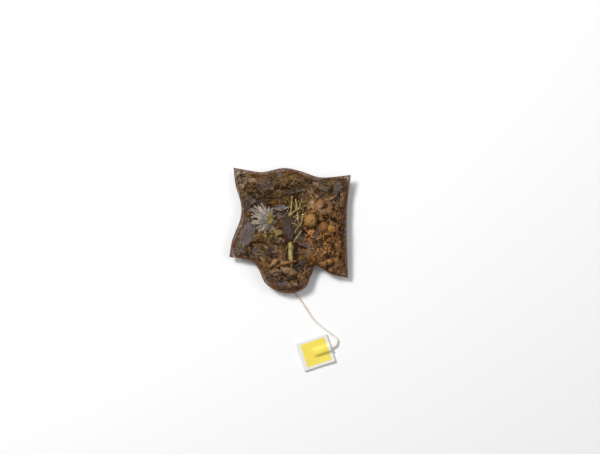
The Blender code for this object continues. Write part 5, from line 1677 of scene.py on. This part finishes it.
# %% [markdown]
# ## Cutting the cloth
# Each sheet's own map is in metres along the cloth, measured out from the middle over its rises and falls, so
# the weave keeps its size wherever the cloth is steep. A second map tells the way across the fin, for the
# weld.

# %% Make the two sheets
def make_sheet(z, turned_over):
    """One open sheet of net, with the map of its cloth and the map of its weld."""
    middle = float(z[0].mean())
    spread_points = np.concatenate([[[0, 0, middle]], np.column_stack([flat_plan, z.ravel()])])
    rise = np.diff(np.concatenate([np.full((1, SPOKES), middle), z]), axis=0)
    run = np.diff(radius, axis=0, prepend=0)
    cloth = np.cumsum(np.hypot(run, rise), axis=0)
    cloth = cloth[:, :, None] * way_out[None]
    cloth = cloth.reshape(-1, 2)
    cloth = cloth + 0.16 * MM * np.column_stack([wander(cloth, 4 * MM, 50), wander(cloth, 4 * MM, 51)])
    cloth_map = np.concatenate([[[0, 0]], cloth])
    weld_map = np.column_stack([np.tile(around_edge, len(shares)),
                                np.repeat(np.maximum(shares - 1, -0.5), SPOKES)])
    weld_map = np.concatenate([[[0, -0.5]], weld_map])
    faces = disc_triangles(SPOKES, len(shares))
    return spread_points, faces[:, ::-1] if turned_over else faces, {"cloth": cloth_map, "weld": weld_map}


x, y = outline.T

# %% [markdown]
# ## The weave
# The net is plain woven from fine nylon thread, about three threads to the millimetre, and between the
# threads there is mostly air. The threads are drawn as a mask for the shader's Alpha, not as thousands of
# tubes: at this size they are a texture. Over and under crossings raise the bump. Where water has been caught
# in the holes they are partly closed by a film, and along the fin the threads are melted into one another.

# %% The net's group
weave, entry, leave = open_group(
    "weave",
    [("Vector", "Vector", None), ("Pitch", "Float", 0.00032), ("Thread", "Float", 0.14)],
    [("Mask", "Float"), ("Height", "Float")],
)
tree = weave
parts = put(tree, "SeparateXYZ", {0: entry["Vector"]}).outputs


def thread(along, across):
    """The mask and the height of the threads that run one way."""
    count = sum_of(weave, "DIVIDE", across, entry["Pitch"])
    off = sum_of(weave, "ABSOLUTE", minus(weave, sum_of(weave, "FRACT", count), 0.5))
    width = times(weave, entry["Thread"], 0.5)
    mask = minus(weave, 1.0, sum_of(weave, "DIVIDE", minus(weave, off, times(weave, width, 0.75)),
                                    times(weave, width, 0.5), clamp=True), clamp=True)
    round_top = minus(weave, 1.0, sum_of(weave, "POWER", sum_of(weave, "DIVIDE", off, width, clamp=True),
                                         2.0), clamp=True)
    turns = times(weave, plus(weave, sum_of(weave, "DIVIDE", along, entry["Pitch"]),
                              sum_of(weave, "FLOOR", count)), math.pi)
    over = times(weave, sum_of(weave, "SINE", turns), 0.5)
    return mask, round_top, over


mask_u, round_u, over_u = thread(parts[0], parts[1])
mask_v, round_v, over_v = thread(parts[1], parts[0])
high_u = times(tree, round_u, plus(tree, over_u, 1.0))
high_v = times(tree, round_v, minus(tree, 1.0, over_v))
tree.links.new(larger(tree, mask_u, mask_v), leave["Mask"])
tree.links.new(larger(tree, high_u, high_v), leave["Height"])
print("weave has", len(tree.nodes), "nodes")

# %% [markdown]
# ## Wet nylon
# The thread is clear nylon that tea has stained a warm brown, most along the seam, where it dries last. The
# same finish is on both sheets: the weave and the weld come from the cloth's own maps, and the stain and the
# film from places on the object.

# %% The net's finish
net, tree, shader = new_finish("tea_stained_net")
cloth = put(tree, "UVMap", uv_map="cloth").outputs[0]
weld = put(tree, "SeparateXYZ", {0: put(tree, "UVMap", uv_map="weld").outputs[0]}).outputs
threads = place_group(tree, weave, {"Vector": cloth})
where = put(tree, "TexCoord").outputs["Object"]
stain = noise(tree, where, 150.0, 3.0, 0.6)
pools = noise(tree, where, 380.0, 2.0)
on_weld = spread(tree, weld[1], 0.02, 0.14)
ribs = times(tree, sum_of(tree, "SINE", times(tree, weld[0], 2 * math.pi / (0.55 * MM))), 0.5)
band = times(tree, on_weld, spread(tree, weld[1], 0.62, 0.50))
film = times(tree, spread(tree, pools, 0.52, 0.64), 0.03)
flecks = noise(tree, where, 900.0, 3.0, 0.7)
held_tea = times(tree, spread(tree, weld[1], -0.07, -0.01), spread(tree, flecks, 0.34, 0.64, 0.36, 0.92))
film = larger(tree, film, held_tea)
melted = times(tree, band, plus(tree, 0.34, times(tree, ribs, 0.24)))
dry = spread(tree, weld[1], -0.07, 0.06, 0.44, 0.95)
clear_thread = times(tree, threads["Mask"], dry)
cover = larger(tree, clear_thread, larger(tree, film, melted), clamp=True)
seam_stain = spread(tree, weld[1], -0.45, 0.25, 0.0, 0.55)
dark = plus(tree, spread(tree, stain, 0.35, 0.68), seam_stain, clamp=True)
colour = tint(tree, dark, (0.270, 0.122, 0.038, 1), (0.125, 0.044, 0.009, 1))
between = times(tree, held_tea, spread(tree, threads["Mask"], 0.0, 1.0, 1.0, 0.25))
colour = tint(tree, between, colour, (0.105, 0.042, 0.009, 1))
tree.links.new(colour, shader.inputs["Base Color"])
tree.links.new(cover, shader.inputs["Alpha"])
shader.inputs["IOR"].default_value = WATER
tree.links.new(spread(tree, pools, 0.42, 0.6, 0.45, 0.22), shader.inputs["Roughness"])
tree.links.new(spread(tree, pools, 0.50, 0.62, 0.0, 0.5), shader.inputs["Coat Weight"])
height = plus(tree, threads["Height"], times(tree, times(tree, band, ribs), 1.6))
emboss(tree, shader, height, 0.5, 0.05 * MM)
for name, z, turned_over in (("net_upper", upper, False), ("net_under", under, True)):
    points, faces, maps = make_sheet(z, turned_over)
    sheet_piece = add_piece(name, points, faces, net, ("mesh_pouch",), maps)
    print(name, "has", len(faces), "triangles")
